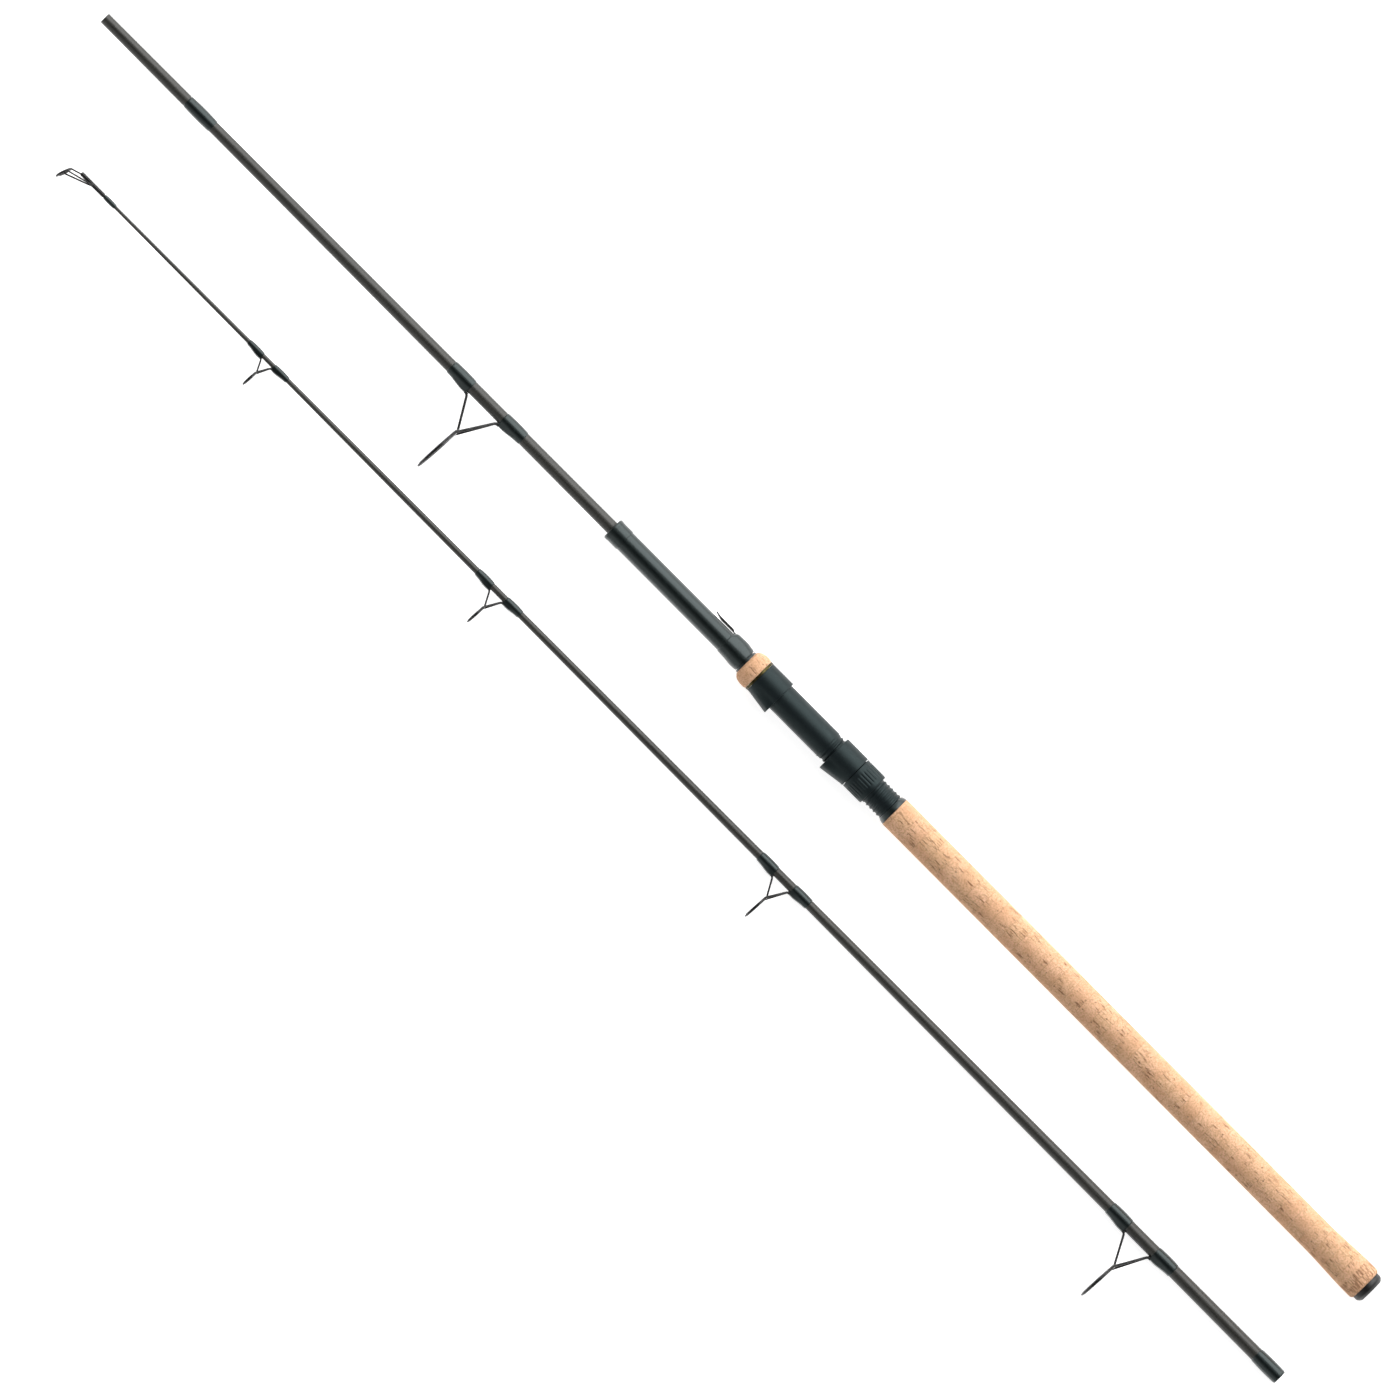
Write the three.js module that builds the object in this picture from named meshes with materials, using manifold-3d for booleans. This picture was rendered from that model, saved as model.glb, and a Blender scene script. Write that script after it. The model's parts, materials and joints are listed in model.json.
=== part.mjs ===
// A two-piece spinning rod with a telescopic butt, lying in its two halves side by side on a floor.
// Millimetres. +X runs from the butt to the tip, +Y is the side the guides point to, +Z is up.
//
// Each half is modelled along its own X axis with its guides towards +Y, and then rolled a few
// degrees about that axis, because a rod lies on its grip or ferrule and on its largest guide ring.

import * as THREE from 'three';
import { mergeVertices } from 'three/addons/utils/BufferGeometryUtils.js';
import Module from 'manifold-3d';

const wasm = await Module();
wasm.setup();

// ---------------------------------------------------------------------------------------------
// Driving dimensions
// ---------------------------------------------------------------------------------------------

const GAP = 0.3; // between pieces that touch or slide
const WRAP_GAP = 0.25; // between a wrap, a guide foot and the blank under it
const WRAP_WALL = 0.4; // thread and varnish

const SECTION_SPACING = 90.5; // between the axes of the two halves
const TIP_SETBACK = 2.2; // ferrule mouth, ahead of the butt end

// Stations along the butt half, from its rear end
const CAP_FRONT = 6;
const REAR_GRIP_FRONT = 485.4;
const SEAT_REAR = 489.3;
const THREAD_FRONT = 551.7;
const SEAT_FRONT = 622.1;
const FORE_GRIP_REAR = 623.4;
const FORE_GRIP_FRONT = 636.1;
const CLIP_WRAP_FRONT = 657.3;
const TUBE_FRONT = 759.4;
const COLLAR_FRONT = 772.3;
const SPIGOT_REAR = 1204.6;
const BUTT_FRONT = 1288.5;

// Handle
const TUBE_RADIUS = 8.25;
const TUBE_BORE = 7.25;
const GRIP_RADIUS = 12.5;
const REST_RADIUS = 13.9; // the flared butt and the fore grip, which lie on the floor
const GRIP_FLARE = 50; // length of the flare at the butt
const SEAT_RADIUS = 11.45;
const SEAT_BORE = 9.75;
const THREAD_CREST = 11;
const THREAD_DEPTH = 0.7;
const THREAD_PITCH = 3.4;
const HOOD_RADIUS = 13.2;
const HOOD_LENGTH = 20.6;
const HOOD_RISE = 2.7; // how far a hood stands up over the reel foot, at its mouth
const HOOD_REAR = 525.2; // rear end of the sliding hood
const NUT_REAR = 507;
const NUT_LENGTH = 17.6;
const NUT_RADIUS = 12.9;
const COLLAR_RADIUS = 8.75;
const COLLAR_INSERT = 19; // length of the collar's part inside the tube

// Blanks: straight tapers
const BUTT_BLANK_REAR = 680;
const BUTT_BLANK_BORE = 3.3;
const BUTT_BLANK_COLLAR_RADIUS = 5.15;
const BUTT_BLANK_FRONT_RADIUS = 4.35;
const SPIGOT_REAR_RADIUS = 4.55;
const SPIGOT_FRONT_RADIUS = 4.3;
const SPIGOT_WRAP_LENGTH = 26.4;
const TIP_BLANK_LENGTH = 1216;
const FERRULE_RADIUS = 5.35;
const TIP_END_RADIUS = 1.2;
const FERRULE_DEPTH = 88;
const FERRULE_WRAP_LENGTH = 23.7;
const TIP_BORE_LENGTH = 1080;

// Guides: where the ring stands along its half, its outer diameter and its centre's height
const BUTT_GUIDE = { name: 'butt_guide', station: 901, diameter: 40, height: 48.3 };
const TIP_GUIDES = [
  { name: 'guide_4', station: 141.8, diameter: 33.6, height: 44 },
  { name: 'guide_3', station: 504.8, diameter: 22.4, height: 28.4 },
  { name: 'guide_2', station: 795.2, diameter: 18, height: 22.8 },
  { name: 'guide_1', station: 1029.7, diameter: 14.6, height: 18.4 },
];
const GUIDE_LEAN = THREE.MathUtils.degToRad(3); // the ring's far side leans towards the tip
const TWIN_LEG_ANGLE = THREE.MathUtils.degToRad(35); // where the rear legs meet the ring
const TIP_TOP = { station: 1228.5, diameter: 13.6, height: 8.6, lean: THREE.MathUtils.degToRad(20) };

// Facets round a turned piece. Each is a multiple of four, so that one corner lies on +Y.
const GRIP_SIDES = 32;
const THREAD_SIDES = 20;
const HOOD_SIDES = 40;
const BLANK_SIDES = 24;
const WRAP_SIDES = 16;
const CLIP_WRAP_SIDES = 20;
const RING_SIDES = 24;
const WIRE_SIDES = 6;

// ---------------------------------------------------------------------------------------------
// Finishes
// ---------------------------------------------------------------------------------------------

const CORK = { color: 0xd9ac7e, roughness: 0.85, metalness: 0 };
const RUBBER = { color: 0x17181a, roughness: 0.8, metalness: 0 };
const CARBON = { color: 0x3a3a36, roughness: 0.4, metalness: 0.1 };
const GLOSS_BLACK = { color: 0x111618, roughness: 0.12, metalness: 0 };
const SEAT_BLACK = { color: 0x1c2126, roughness: 0.42, metalness: 0 };
const BRONZE = { color: 0x5e5234, roughness: 0.3, metalness: 0.9 };
const GUNMETAL = { color: 0x34373a, roughness: 0.3, metalness: 0.9 };
const CERAMIC = { color: 0x0c0d0f, roughness: 0.15, metalness: 0 };
const ARBOR_TAN = { color: 0xb8a482, roughness: 0.9, metalness: 0 };
const NYLON = { color: 0x2a2c2e, roughness: 0.55, metalness: 0 };

// ---------------------------------------------------------------------------------------------
// Solids
// ---------------------------------------------------------------------------------------------

function signedVolume(geometry) {
  const { position } = geometry.attributes;
  const index = geometry.index.array;
  const [a, b, c] = [new THREE.Vector3(), new THREE.Vector3(), new THREE.Vector3()];
  let volume = 0;
  for (let i = 0; i < index.length; i += 3) {
    a.fromBufferAttribute(position, index[i]);
    b.fromBufferAttribute(position, index[i + 1]);
    c.fromBufferAttribute(position, index[i + 2]);
    volume += a.dot(b.cross(c)) / 6;
  }
  return volume;
}

// Welds a geometry into one closed body whose faces point out
function closed(geometry) {
  geometry.deleteAttribute('normal');
  geometry.deleteAttribute('uv');
  const welded = mergeVertices(geometry, 1e-4);
  const index = [];
  for (let i = 0; i < welded.index.count; i += 3) {
    const [a, b, c] = welded.index.array.slice(i, i + 3);
    const collapsed = a === b || b === c || c === a;
    if (!collapsed) index.push(a, b, c);
  }
  welded.setIndex(index);
  if (signedVolume(welded) < 0) welded.setIndex(index.reverse());
  return welded;
}

function toManifold(geometry) {
  return new wasm.Manifold(new wasm.Mesh({
    numProp: 3,
    vertProperties: Float32Array.from(geometry.attributes.position.array),
    triVerts: Uint32Array.from(geometry.index.array),
  }));
}

function toGeometry(manifold) {
  const mesh = manifold.getMesh();
  const geometry = new THREE.BufferGeometry();
  geometry.setAttribute('position', new THREE.BufferAttribute(mesh.vertProperties, mesh.numProp));
  geometry.setIndex(new THREE.BufferAttribute(mesh.triVerts, 1));
  return geometry;
}

function joined(...geometries) {
  return toGeometry(geometries.map(toManifold).reduce((whole, part) => whole.add(part)));
}

function cut(geometry, tool) {
  return toGeometry(toManifold(geometry).subtract(toManifold(tool)));
}

// A profile of [x, radius] points turned round the X axis. One that starts off the axis is a ring.
function turned(profile, sides = GRIP_SIDES) {
  const points = profile.map(([x, radius]) => new THREE.Vector2(radius, x));
  const isRing = profile[0][1] > 0;
  if (isRing) points.push(points[0].clone());
  return closed(new THREE.LatheGeometry(points, sides).rotateZ(-Math.PI / 2));
}

function sleeve(rear, front, bore, radius, sides = GRIP_SIDES) {
  return turned([[rear, bore], [rear, radius], [front, radius], [front, bore]], sides);
}

// Moves each corner of a turned piece to a new radius. The angle is 0 on +Y and grows towards +Z.
function reshaped(geometry, newRadius) {
  const { position } = geometry.attributes;
  for (let i = 0; i < position.count; i += 1) {
    const [x, y, z] = [position.getX(i), position.getY(i), position.getZ(i)];
    const radius = Math.hypot(y, z);
    const scale = newRadius(x, Math.atan2(z, y), radius) / radius;
    position.setXYZ(i, x, y * scale, z * scale);
  }
  return geometry;
}

// 1 on the +Y side, falling smoothly to 0 between two angles from it
function hump(angle, flat, fade) {
  return 1 - THREE.MathUtils.smoothstep(Math.abs(angle), flat, fade);
}

function circle(radius, sides) {
  return new THREE.Shape(new THREE.EllipseCurve(0, 0, radius, radius).getPoints(sides).slice(0, sides));
}

function wire(from, to, radius) {
  const path = new THREE.LineCurve3(from, to);
  return closed(new THREE.ExtrudeGeometry(circle(radius, WIRE_SIDES), { steps: 1, extrudePath: path }));
}

// A side outline of [x, y] points, as wide as given, centred on the XY plane
function plate(outline, width) {
  const shape = new THREE.Shape(outline.map(([x, y]) => new THREE.Vector2(x, y)));
  const geometry = new THREE.ExtrudeGeometry(shape, { depth: width, bevelEnabled: false });
  return closed(geometry.translate(0, 0, -width / 2));
}

function addPiece(group, name, geometry, finish) {
  const mesh = new THREE.Mesh(geometry, new THREE.MeshStandardMaterial(finish));
  mesh.name = name;
  group.add(mesh);
}

// ---------------------------------------------------------------------------------------------
// Grips, caps and trim
// ---------------------------------------------------------------------------------------------

const TUBE_SEAT = TUBE_RADIUS + GAP; // bore of everything that is glued on the handle tube

function buttCap() {
  const radius = GRIP_RADIUS - GAP;
  const plugRadius = TUBE_BORE - GAP;
  const plugFront = CAP_FRONT + 20;
  return turned([
    [0, 0],
    [0, radius - 2.8],
    [2.6, radius],
    [CAP_FRONT, radius],
    [CAP_FRONT, plugRadius],
    [plugFront, plugRadius],
    [plugFront, 0],
  ]);
}

function rearGrip() {
  const rear = CAP_FRONT + GAP;
  const front = REAR_GRIP_FRONT - GAP;
  const flare = REST_RADIUS - GRIP_RADIUS;
  return turned([
    [rear, TUBE_SEAT],
    [rear, GRIP_RADIUS - GAP],
    [rear + 0.8, REST_RADIUS - 0.6],
    [rear + 2.6, REST_RADIUS],
    [rear + 7, REST_RADIUS],
    [rear + 0.3 * GRIP_FLARE, GRIP_RADIUS + 0.75 * flare],
    [rear + 0.6 * GRIP_FLARE, GRIP_RADIUS + 0.25 * flare],
    [rear + GRIP_FLARE, GRIP_RADIUS],
    [front - 0.8, GRIP_RADIUS],
    [front, GRIP_RADIUS - 0.5],
    [front, TUBE_SEAT],
  ]);
}

function rearWindingCheck() {
  const rear = REAR_GRIP_FRONT;
  const front = SEAT_REAR - GAP;
  return turned([
    [rear, TUBE_SEAT],
    [rear, GRIP_RADIUS - 0.1],
    [rear + 1, GRIP_RADIUS - 0.2],
    [front, THREAD_CREST + 0.3],
    [front, TUBE_SEAT],
  ]);
}

function foreGrip() {
  const rear = FORE_GRIP_REAR + GAP;
  const front = FORE_GRIP_FRONT - GAP;
  return turned([
    [rear, TUBE_SEAT],
    [rear, REST_RADIUS - 0.6],
    [rear + 0.8, REST_RADIUS],
    [rear + 5.5, REST_RADIUS],
    [front - 3.2, REST_RADIUS - 0.8],
    [front - 0.9, REST_RADIUS - 2.3],
    [front, REST_RADIUS - 3.6],
    [front, TUBE_SEAT],
  ]);
}

function foreWindingCheck() {
  const rear = FORE_GRIP_FRONT;
  return turned([
    [rear, TUBE_SEAT],
    [rear, TUBE_RADIUS + 1.8],
    [rear + 1.3, TUBE_RADIUS + 1.1],
    [rear + 1.3, TUBE_SEAT],
  ]);
}

function frontCollar() {
  const rear = TUBE_FRONT - COLLAR_INSERT;
  const bore = TUBE_BORE - 0.9;
  const lip = COLLAR_RADIUS + 0.25;
  return turned([
    [rear, bore],
    [rear, TUBE_BORE - GAP],
    [TUBE_FRONT + GAP, TUBE_BORE - GAP],
    [TUBE_FRONT + GAP, COLLAR_RADIUS - 0.15],
    [TUBE_FRONT + 1.4, COLLAR_RADIUS],
    [COLLAR_FRONT - 2.8, COLLAR_RADIUS],
    [COLLAR_FRONT - 1.8, lip],
    [COLLAR_FRONT - 0.5, lip - 0.1],
    [COLLAR_FRONT, lip - 0.7],
    [COLLAR_FRONT, bore],
  ]);
}

function collarBushing() {
  const radius = TUBE_BORE - 0.9 - WRAP_GAP;
  return sleeve(TUBE_FRONT - COLLAR_INSERT, COLLAR_FRONT - 0.6, radius - 0.6, radius);
}

// ---------------------------------------------------------------------------------------------
// Reel seat
// ---------------------------------------------------------------------------------------------

// The seat's rear end is a right-hand thread. Between the hoods it has a narrow flat for the reel foot.
function reelSeatBody() {
  const rowStep = THREAD_PITCH / 3;
  const rows = Math.floor((THREAD_FRONT - SEAT_REAR) / rowStep);
  const threadRows = Array.from({ length: rows }, (_, row) => [SEAT_REAR + row * rowStep, THREAD_CREST]);
  const front = SEAT_FRONT - GAP;
  const landRear = THREAD_FRONT + 0.6;
  const landFront = front - HOOD_LENGTH - GAP;
  const body = turned([
    [SEAT_REAR, SEAT_BORE],
    ...threadRows,
    [THREAD_FRONT, THREAD_CREST],
    [landRear, SEAT_RADIUS],
    [landFront, SEAT_RADIUS],
    [landFront + 0.1, SEAT_RADIUS],
    [front, SEAT_RADIUS],
    [front, SEAT_BORE],
  ], THREAD_SIDES);
  const landAngle = 2 * Math.PI / THREAD_SIDES;
  const landHeight = SEAT_RADIUS * Math.cos(landAngle);
  return reshaped(body, (x, angle, radius) => {
    if (radius < SEAT_BORE + 0.1 || x > landFront + 0.05) return radius;
    if (x > THREAD_FRONT + 0.3) return Math.min(radius, landHeight / Math.max(Math.cos(angle), 0.1));
    const turns = (x - SEAT_REAR) / THREAD_PITCH - angle / (2 * Math.PI);
    return THREAD_CREST - THREAD_DEPTH * (0.5 - 0.5 * Math.cos(2 * Math.PI * turns));
  });
}

// A hood is a sleeve whose +Y side rises towards its mouth, over the pocket that takes the reel foot
function hood(mouth, back) {
  const bore = SEAT_RADIUS + GAP;
  const inward = Math.sign(back - mouth);
  const geometry = turned([
    [mouth, bore],
    [mouth, HOOD_RADIUS - 0.3],
    [mouth + inward * 0.7, HOOD_RADIUS],
    [mouth + inward * 0.4 * HOOD_LENGTH, HOOD_RADIUS],
    [back - inward * 0.9, HOOD_RADIUS],
    [back, HOOD_RADIUS - 0.5],
    [back, bore],
    [back - inward * 2, bore],
  ], HOOD_SIDES);
  return reshaped(geometry, (x, angle, radius) => {
    const depth = Math.abs(x - mouth) / (HOOD_LENGTH - 2);
    const rise = HOOD_RISE * (1 - Math.min(depth, 1));
    return radius + rise * hump(angle, 0.42, 0.95);
  });
}

function lockNut() {
  const front = NUT_REAR + NUT_LENGTH;
  const bore = THREAD_CREST + GAP + 0.05;
  const flutes = HOOD_SIDES / 2;
  const ring = turned([
    [NUT_REAR, bore],
    [NUT_REAR, NUT_RADIUS - 1],
    [NUT_REAR + 1.6, NUT_RADIUS],
    [front - 1.2, NUT_RADIUS],
    [front, NUT_RADIUS - 0.5],
    [front, bore],
  ], HOOD_SIDES);
  return reshaped(ring, (x, angle, radius) => {
    const fluted = radius > NUT_RADIUS - 0.1;
    return fluted ? radius - 0.2 + 0.2 * Math.cos(flutes * angle) : radius;
  });
}

// ---------------------------------------------------------------------------------------------
// Line clip
// ---------------------------------------------------------------------------------------------

const CLIP_SHEET = 0.7;
const CLIP_WIDTH = 3.2;
const CLIP_TIP = 676.8;
const CLIP_FOOT_LENGTH = 5;

// A blade close over the tube, with a raised tip that lets the line in, on the side away from the guides
function lineClip() {
  const foot = TUBE_RADIUS + GAP + 0.15;
  const root = CLIP_WRAP_FRONT + 0.4;
  const top = foot + 1.85;
  return plate([
    [CLIP_WRAP_FRONT - CLIP_FOOT_LENGTH, foot],
    [CLIP_TIP - 6, foot + 0.1],
    [CLIP_TIP, top + 0.1],
    [CLIP_TIP, top + 0.8],
    [CLIP_TIP - 3.6, top],
    [root + 1.8, top],
    [root, foot + CLIP_SHEET],
    [CLIP_WRAP_FRONT - CLIP_FOOT_LENGTH, foot + CLIP_SHEET],
  ], CLIP_WIDTH).rotateX(Math.PI);
}

// ---------------------------------------------------------------------------------------------
// Wraps
// ---------------------------------------------------------------------------------------------

function plainWrap(blank, rear, front) {
  const edge = 0.06 * (front - rear);
  const rows = [[rear, 0.15], [rear + edge, WRAP_WALL], [front - edge, WRAP_WALL], [front, 0.15]];
  return turned([
    [rear, blank(rear) + WRAP_GAP],
    ...rows.map(([x, wall]) => [x, blank(x) + WRAP_GAP + wall]),
    [front, blank(front) + WRAP_GAP],
  ], BLANK_SIDES);
}

// A wrap over a foot that enters at legEnd. It stands up over the foot, and loses the given share of
// that rise by its far end.
function footWrap(blank, legEnd, toeEnd, foot, { sides = WRAP_SIDES, fall = 1 } = {}) {
  const at = (part) => legEnd + part * (toeEnd - legEnd);
  const bore = (part) => blank(at(part)) + WRAP_GAP;
  const wallRows = [[0, 0.6], [0.07, 1], [0.7, 1], [0.94, 1], [1, 0.4]];
  const outer = wallRows.map(([part, share]) => [at(part), bore(part) + share * WRAP_WALL]);
  const inner = [1, 0.7, 0].map((part) => [at(part), bore(part)]);
  const footTop = bore(0) + foot.thickness;
  const clearRadius = (Math.hypot(footTop, foot.width / 2) + WRAP_GAP) / Math.cos(Math.PI / sides);
  const fullRise = clearRadius - bore(0);
  const flat = Math.asin(Math.min(0.95, (foot.width / 2 + WRAP_GAP) / bore(0))) + 2 * Math.PI / sides;
  return reshaped(turned([...outer, ...inner], sides), (x, angle, radius) => {
    const part = (x - legEnd) / (toeEnd - legEnd);
    return radius + fullRise * (1 - fall * part * part) * hump(angle, flat, flat + 0.5);
  });
}

// ---------------------------------------------------------------------------------------------
// Guides
// ---------------------------------------------------------------------------------------------

// Sizes that follow from a guide's ring diameter
function guideSizes({ station, diameter }) {
  const wrapLength = 10.5 + 0.26 * diameter;
  const span = 0.82 * diameter - 1; // bare blank between the two wraps
  const rearLegEnd = station - 0.56 * span;
  return {
    rearLegEnd,
    frontLegEnd: rearLegEnd + span,
    wrapLength,
    wireRadius: 0.45 + 0.0125 * diameter,
    foot: { thickness: 0.7 + 0.008 * diameter, width: 1.6 + 0.04 * diameter },
  };
}

// Places something made at the origin round the X axis where a guide's ring stands
function atRing(geometry, { station, height }, lean) {
  return geometry.rotateZ(-lean).translate(station, height, 0);
}

function onRing(guide, lean, radius, angle) {
  const point = new THREE.Vector3(0, -radius * Math.cos(angle), radius * Math.sin(angle));
  point.applyAxisAngle(new THREE.Vector3(0, 0, 1), -lean);
  return point.add(new THREE.Vector3(guide.station, guide.height, 0));
}

function ringWire(guide, lean, wireRadius) {
  const middle = guide.diameter / 2 - wireRadius;
  const section = circle(wireRadius, WIRE_SIDES).getPoints().map(({ x, y }) => [x, middle + y]);
  return atRing(turned(section, RING_SIDES), guide, lean);
}

function ringInsert(guide, lean, wireRadius) {
  const outer = guide.diameter / 2 - 2 * wireRadius - WRAP_GAP;
  const depth = 0.8 + 0.04 * guide.diameter;
  const half = wireRadius + 0.35;
  const section = [
    [-half, outer],
    [half, outer],
    [half, outer - 0.55 * depth],
    [0.4 * half, outer - depth],
    [-0.4 * half, outer - depth],
    [-half, outer - 0.55 * depth],
  ];
  return atRing(turned(section, RING_SIDES), guide, lean);
}

function guideFoot(blank, legEnd, toe, { thickness, width }, wireRadius) {
  const out = Math.sign(toe - legEnd);
  const base = blank(legEnd) + WRAP_GAP;
  const start = legEnd - out * 1.8 * wireRadius;
  return plate([
    [start, base],
    [toe, base],
    [toe, base + 0.3],
    [legEnd, base + thickness],
    [start, base + thickness],
  ], width);
}

// One leg in front of the ring, two behind it, and a flat foot under each wrap
function guideFrame(guide, blank) {
  const { rearLegEnd, frontLegEnd, wrapLength, wireRadius, foot } = guideSizes(guide);
  const footLength = 0.66 * wrapLength;
  const middle = guide.diameter / 2 - wireRadius;
  const legs = [
    { end: frontLegEnd, out: 1, angle: 0, side: 0 },
    { end: rearLegEnd, out: -1, angle: TWIN_LEG_ANGLE, side: 1 },
    { end: rearLegEnd, out: -1, angle: -TWIN_LEG_ANGLE, side: -1 },
  ].map(({ end, out, angle, side }) => wire(
    onRing(guide, GUIDE_LEAN, middle, angle),
    new THREE.Vector3(
      end - out * 1.2 * wireRadius,
      blank(end) + WRAP_GAP + wireRadius,
      side * (foot.width / 2 - 0.6 * wireRadius),
    ),
    wireRadius,
  ));
  return joined(
    ringWire(guide, GUIDE_LEAN, wireRadius),
    ...legs,
    guideFoot(blank, frontLegEnd, frontLegEnd + footLength, foot, wireRadius),
    guideFoot(blank, rearLegEnd, rearLegEnd - footLength, foot, wireRadius),
  );
}

function addGuide(group, guide, blank) {
  const { rearLegEnd, frontLegEnd, wrapLength, wireRadius, foot } = guideSizes(guide);
  const rearWrap = footWrap(blank, rearLegEnd, rearLegEnd - wrapLength, foot);
  const frontWrap = footWrap(blank, frontLegEnd, frontLegEnd + wrapLength, foot);
  addPiece(group, `${guide.name}_frame`, guideFrame(guide, blank), GUNMETAL);
  addPiece(group, `${guide.name}_ring`, ringInsert(guide, GUIDE_LEAN, wireRadius), CERAMIC);
  addPiece(group, `${guide.name}_rear_wrap`, rearWrap, GLOSS_BLACK);
  addPiece(group, `${guide.name}_front_wrap`, frontWrap, GLOSS_BLACK);
}

// ---------------------------------------------------------------------------------------------
// Tip top
// ---------------------------------------------------------------------------------------------

const TIP_TUBE_REAR = 1196.4;
const TIP_TUBE_FRONT = 1219.4;
const TIP_TUBE_RADIUS = 1.65;
const TIP_WRAP_REAR = 1184.4;
const TIP_WIRE_RADIUS = 0.6;
const TIP_STRUT_ANGLE = THREE.MathUtils.degToRad(80);

// A tube over the end of the blank, a short wire to the ring's near side and a strut to each flank
function tipTopFrame() {
  const middle = TIP_TOP.diameter / 2 - TIP_WIRE_RADIUS;
  const tube = turned([
    [TIP_TUBE_REAR, 0],
    [TIP_TUBE_REAR, TIP_TUBE_RADIUS],
    [TIP_TUBE_FRONT - 0.6, TIP_TUBE_RADIUS],
    [TIP_TUBE_FRONT, 0.7 * TIP_TUBE_RADIUS],
    [TIP_TUBE_FRONT, 0],
  ], WRAP_SIDES);
  const struts = [-1, 1].map((side) => wire(
    onRing(TIP_TOP, TIP_TOP.lean, middle, side * TIP_STRUT_ANGLE),
    new THREE.Vector3(TIP_TUBE_FRONT - 12, 0.5 * TIP_TUBE_RADIUS, side * TIP_TUBE_RADIUS),
    TIP_WIRE_RADIUS,
  ));
  const nearWire = wire(
    onRing(TIP_TOP, TIP_TOP.lean, middle, 0),
    new THREE.Vector3(TIP_TUBE_FRONT - 1.2, 0, 0),
    TIP_WIRE_RADIUS,
  );
  const frame = joined(tube, ...struts, nearWire, ringWire(TIP_TOP, TIP_TOP.lean, TIP_WIRE_RADIUS));
  const socket = turned([
    [TIP_TUBE_REAR - 1, 0],
    [TIP_TUBE_REAR - 1, TIP_END_RADIUS + 0.15],
    [TIP_BLANK_LENGTH + GAP, TIP_END_RADIUS + 0.15],
    [TIP_BLANK_LENGTH + GAP, 0],
  ], WRAP_SIDES);
  return cut(frame, socket);
}

// ---------------------------------------------------------------------------------------------
// Blanks
// ---------------------------------------------------------------------------------------------

function buttBlankRadius(x) {
  const taper = (BUTT_BLANK_COLLAR_RADIUS - BUTT_BLANK_FRONT_RADIUS) / (SPIGOT_REAR - COLLAR_FRONT);
  return BUTT_BLANK_COLLAR_RADIUS - taper * (x - COLLAR_FRONT);
}

function tipBlankRadius(x) {
  const along = Math.min(x / TIP_TUBE_REAR, 1);
  return FERRULE_RADIUS + along * (TIP_END_RADIUS - FERRULE_RADIUS);
}

function buttBlank() {
  return turned([
    [BUTT_BLANK_REAR, BUTT_BLANK_BORE],
    [BUTT_BLANK_REAR, buttBlankRadius(BUTT_BLANK_REAR)],
    [SPIGOT_REAR - GAP, buttBlankRadius(SPIGOT_REAR)],
    [SPIGOT_REAR + GAP, SPIGOT_REAR_RADIUS],
    [BUTT_FRONT - 0.5, SPIGOT_FRONT_RADIUS],
    [BUTT_FRONT, SPIGOT_FRONT_RADIUS - 0.4],
    [BUTT_FRONT, BUTT_BLANK_BORE],
  ], BLANK_SIDES);
}

// The ferrule socket takes the spigot; past it the bore narrows with the blank
function tipBlank() {
  const mouthBore = SPIGOT_REAR_RADIUS + 0.08;
  const endBore = SPIGOT_FRONT_RADIUS + 0.08;
  return turned([
    [TIP_BORE_LENGTH, 0],
    [TIP_BORE_LENGTH, 0.4],
    [FERRULE_DEPTH + 60, 0.75 * endBore],
    [FERRULE_DEPTH, endBore],
    [0, mouthBore],
    [0, FERRULE_RADIUS],
    [TIP_TUBE_REAR, TIP_END_RADIUS],
    [TIP_BLANK_LENGTH, TIP_END_RADIUS],
    [TIP_BLANK_LENGTH, 0],
  ], BLANK_SIDES);
}

function blankStopSleeve() {
  const bore = buttBlankRadius(BUTT_BLANK_REAR) + WRAP_GAP;
  return sleeve(BUTT_BLANK_REAR, TUBE_FRONT - COLLAR_INSERT - GAP, bore, TUBE_BORE - GAP);
}

// ---------------------------------------------------------------------------------------------
// The two halves
// ---------------------------------------------------------------------------------------------

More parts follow.
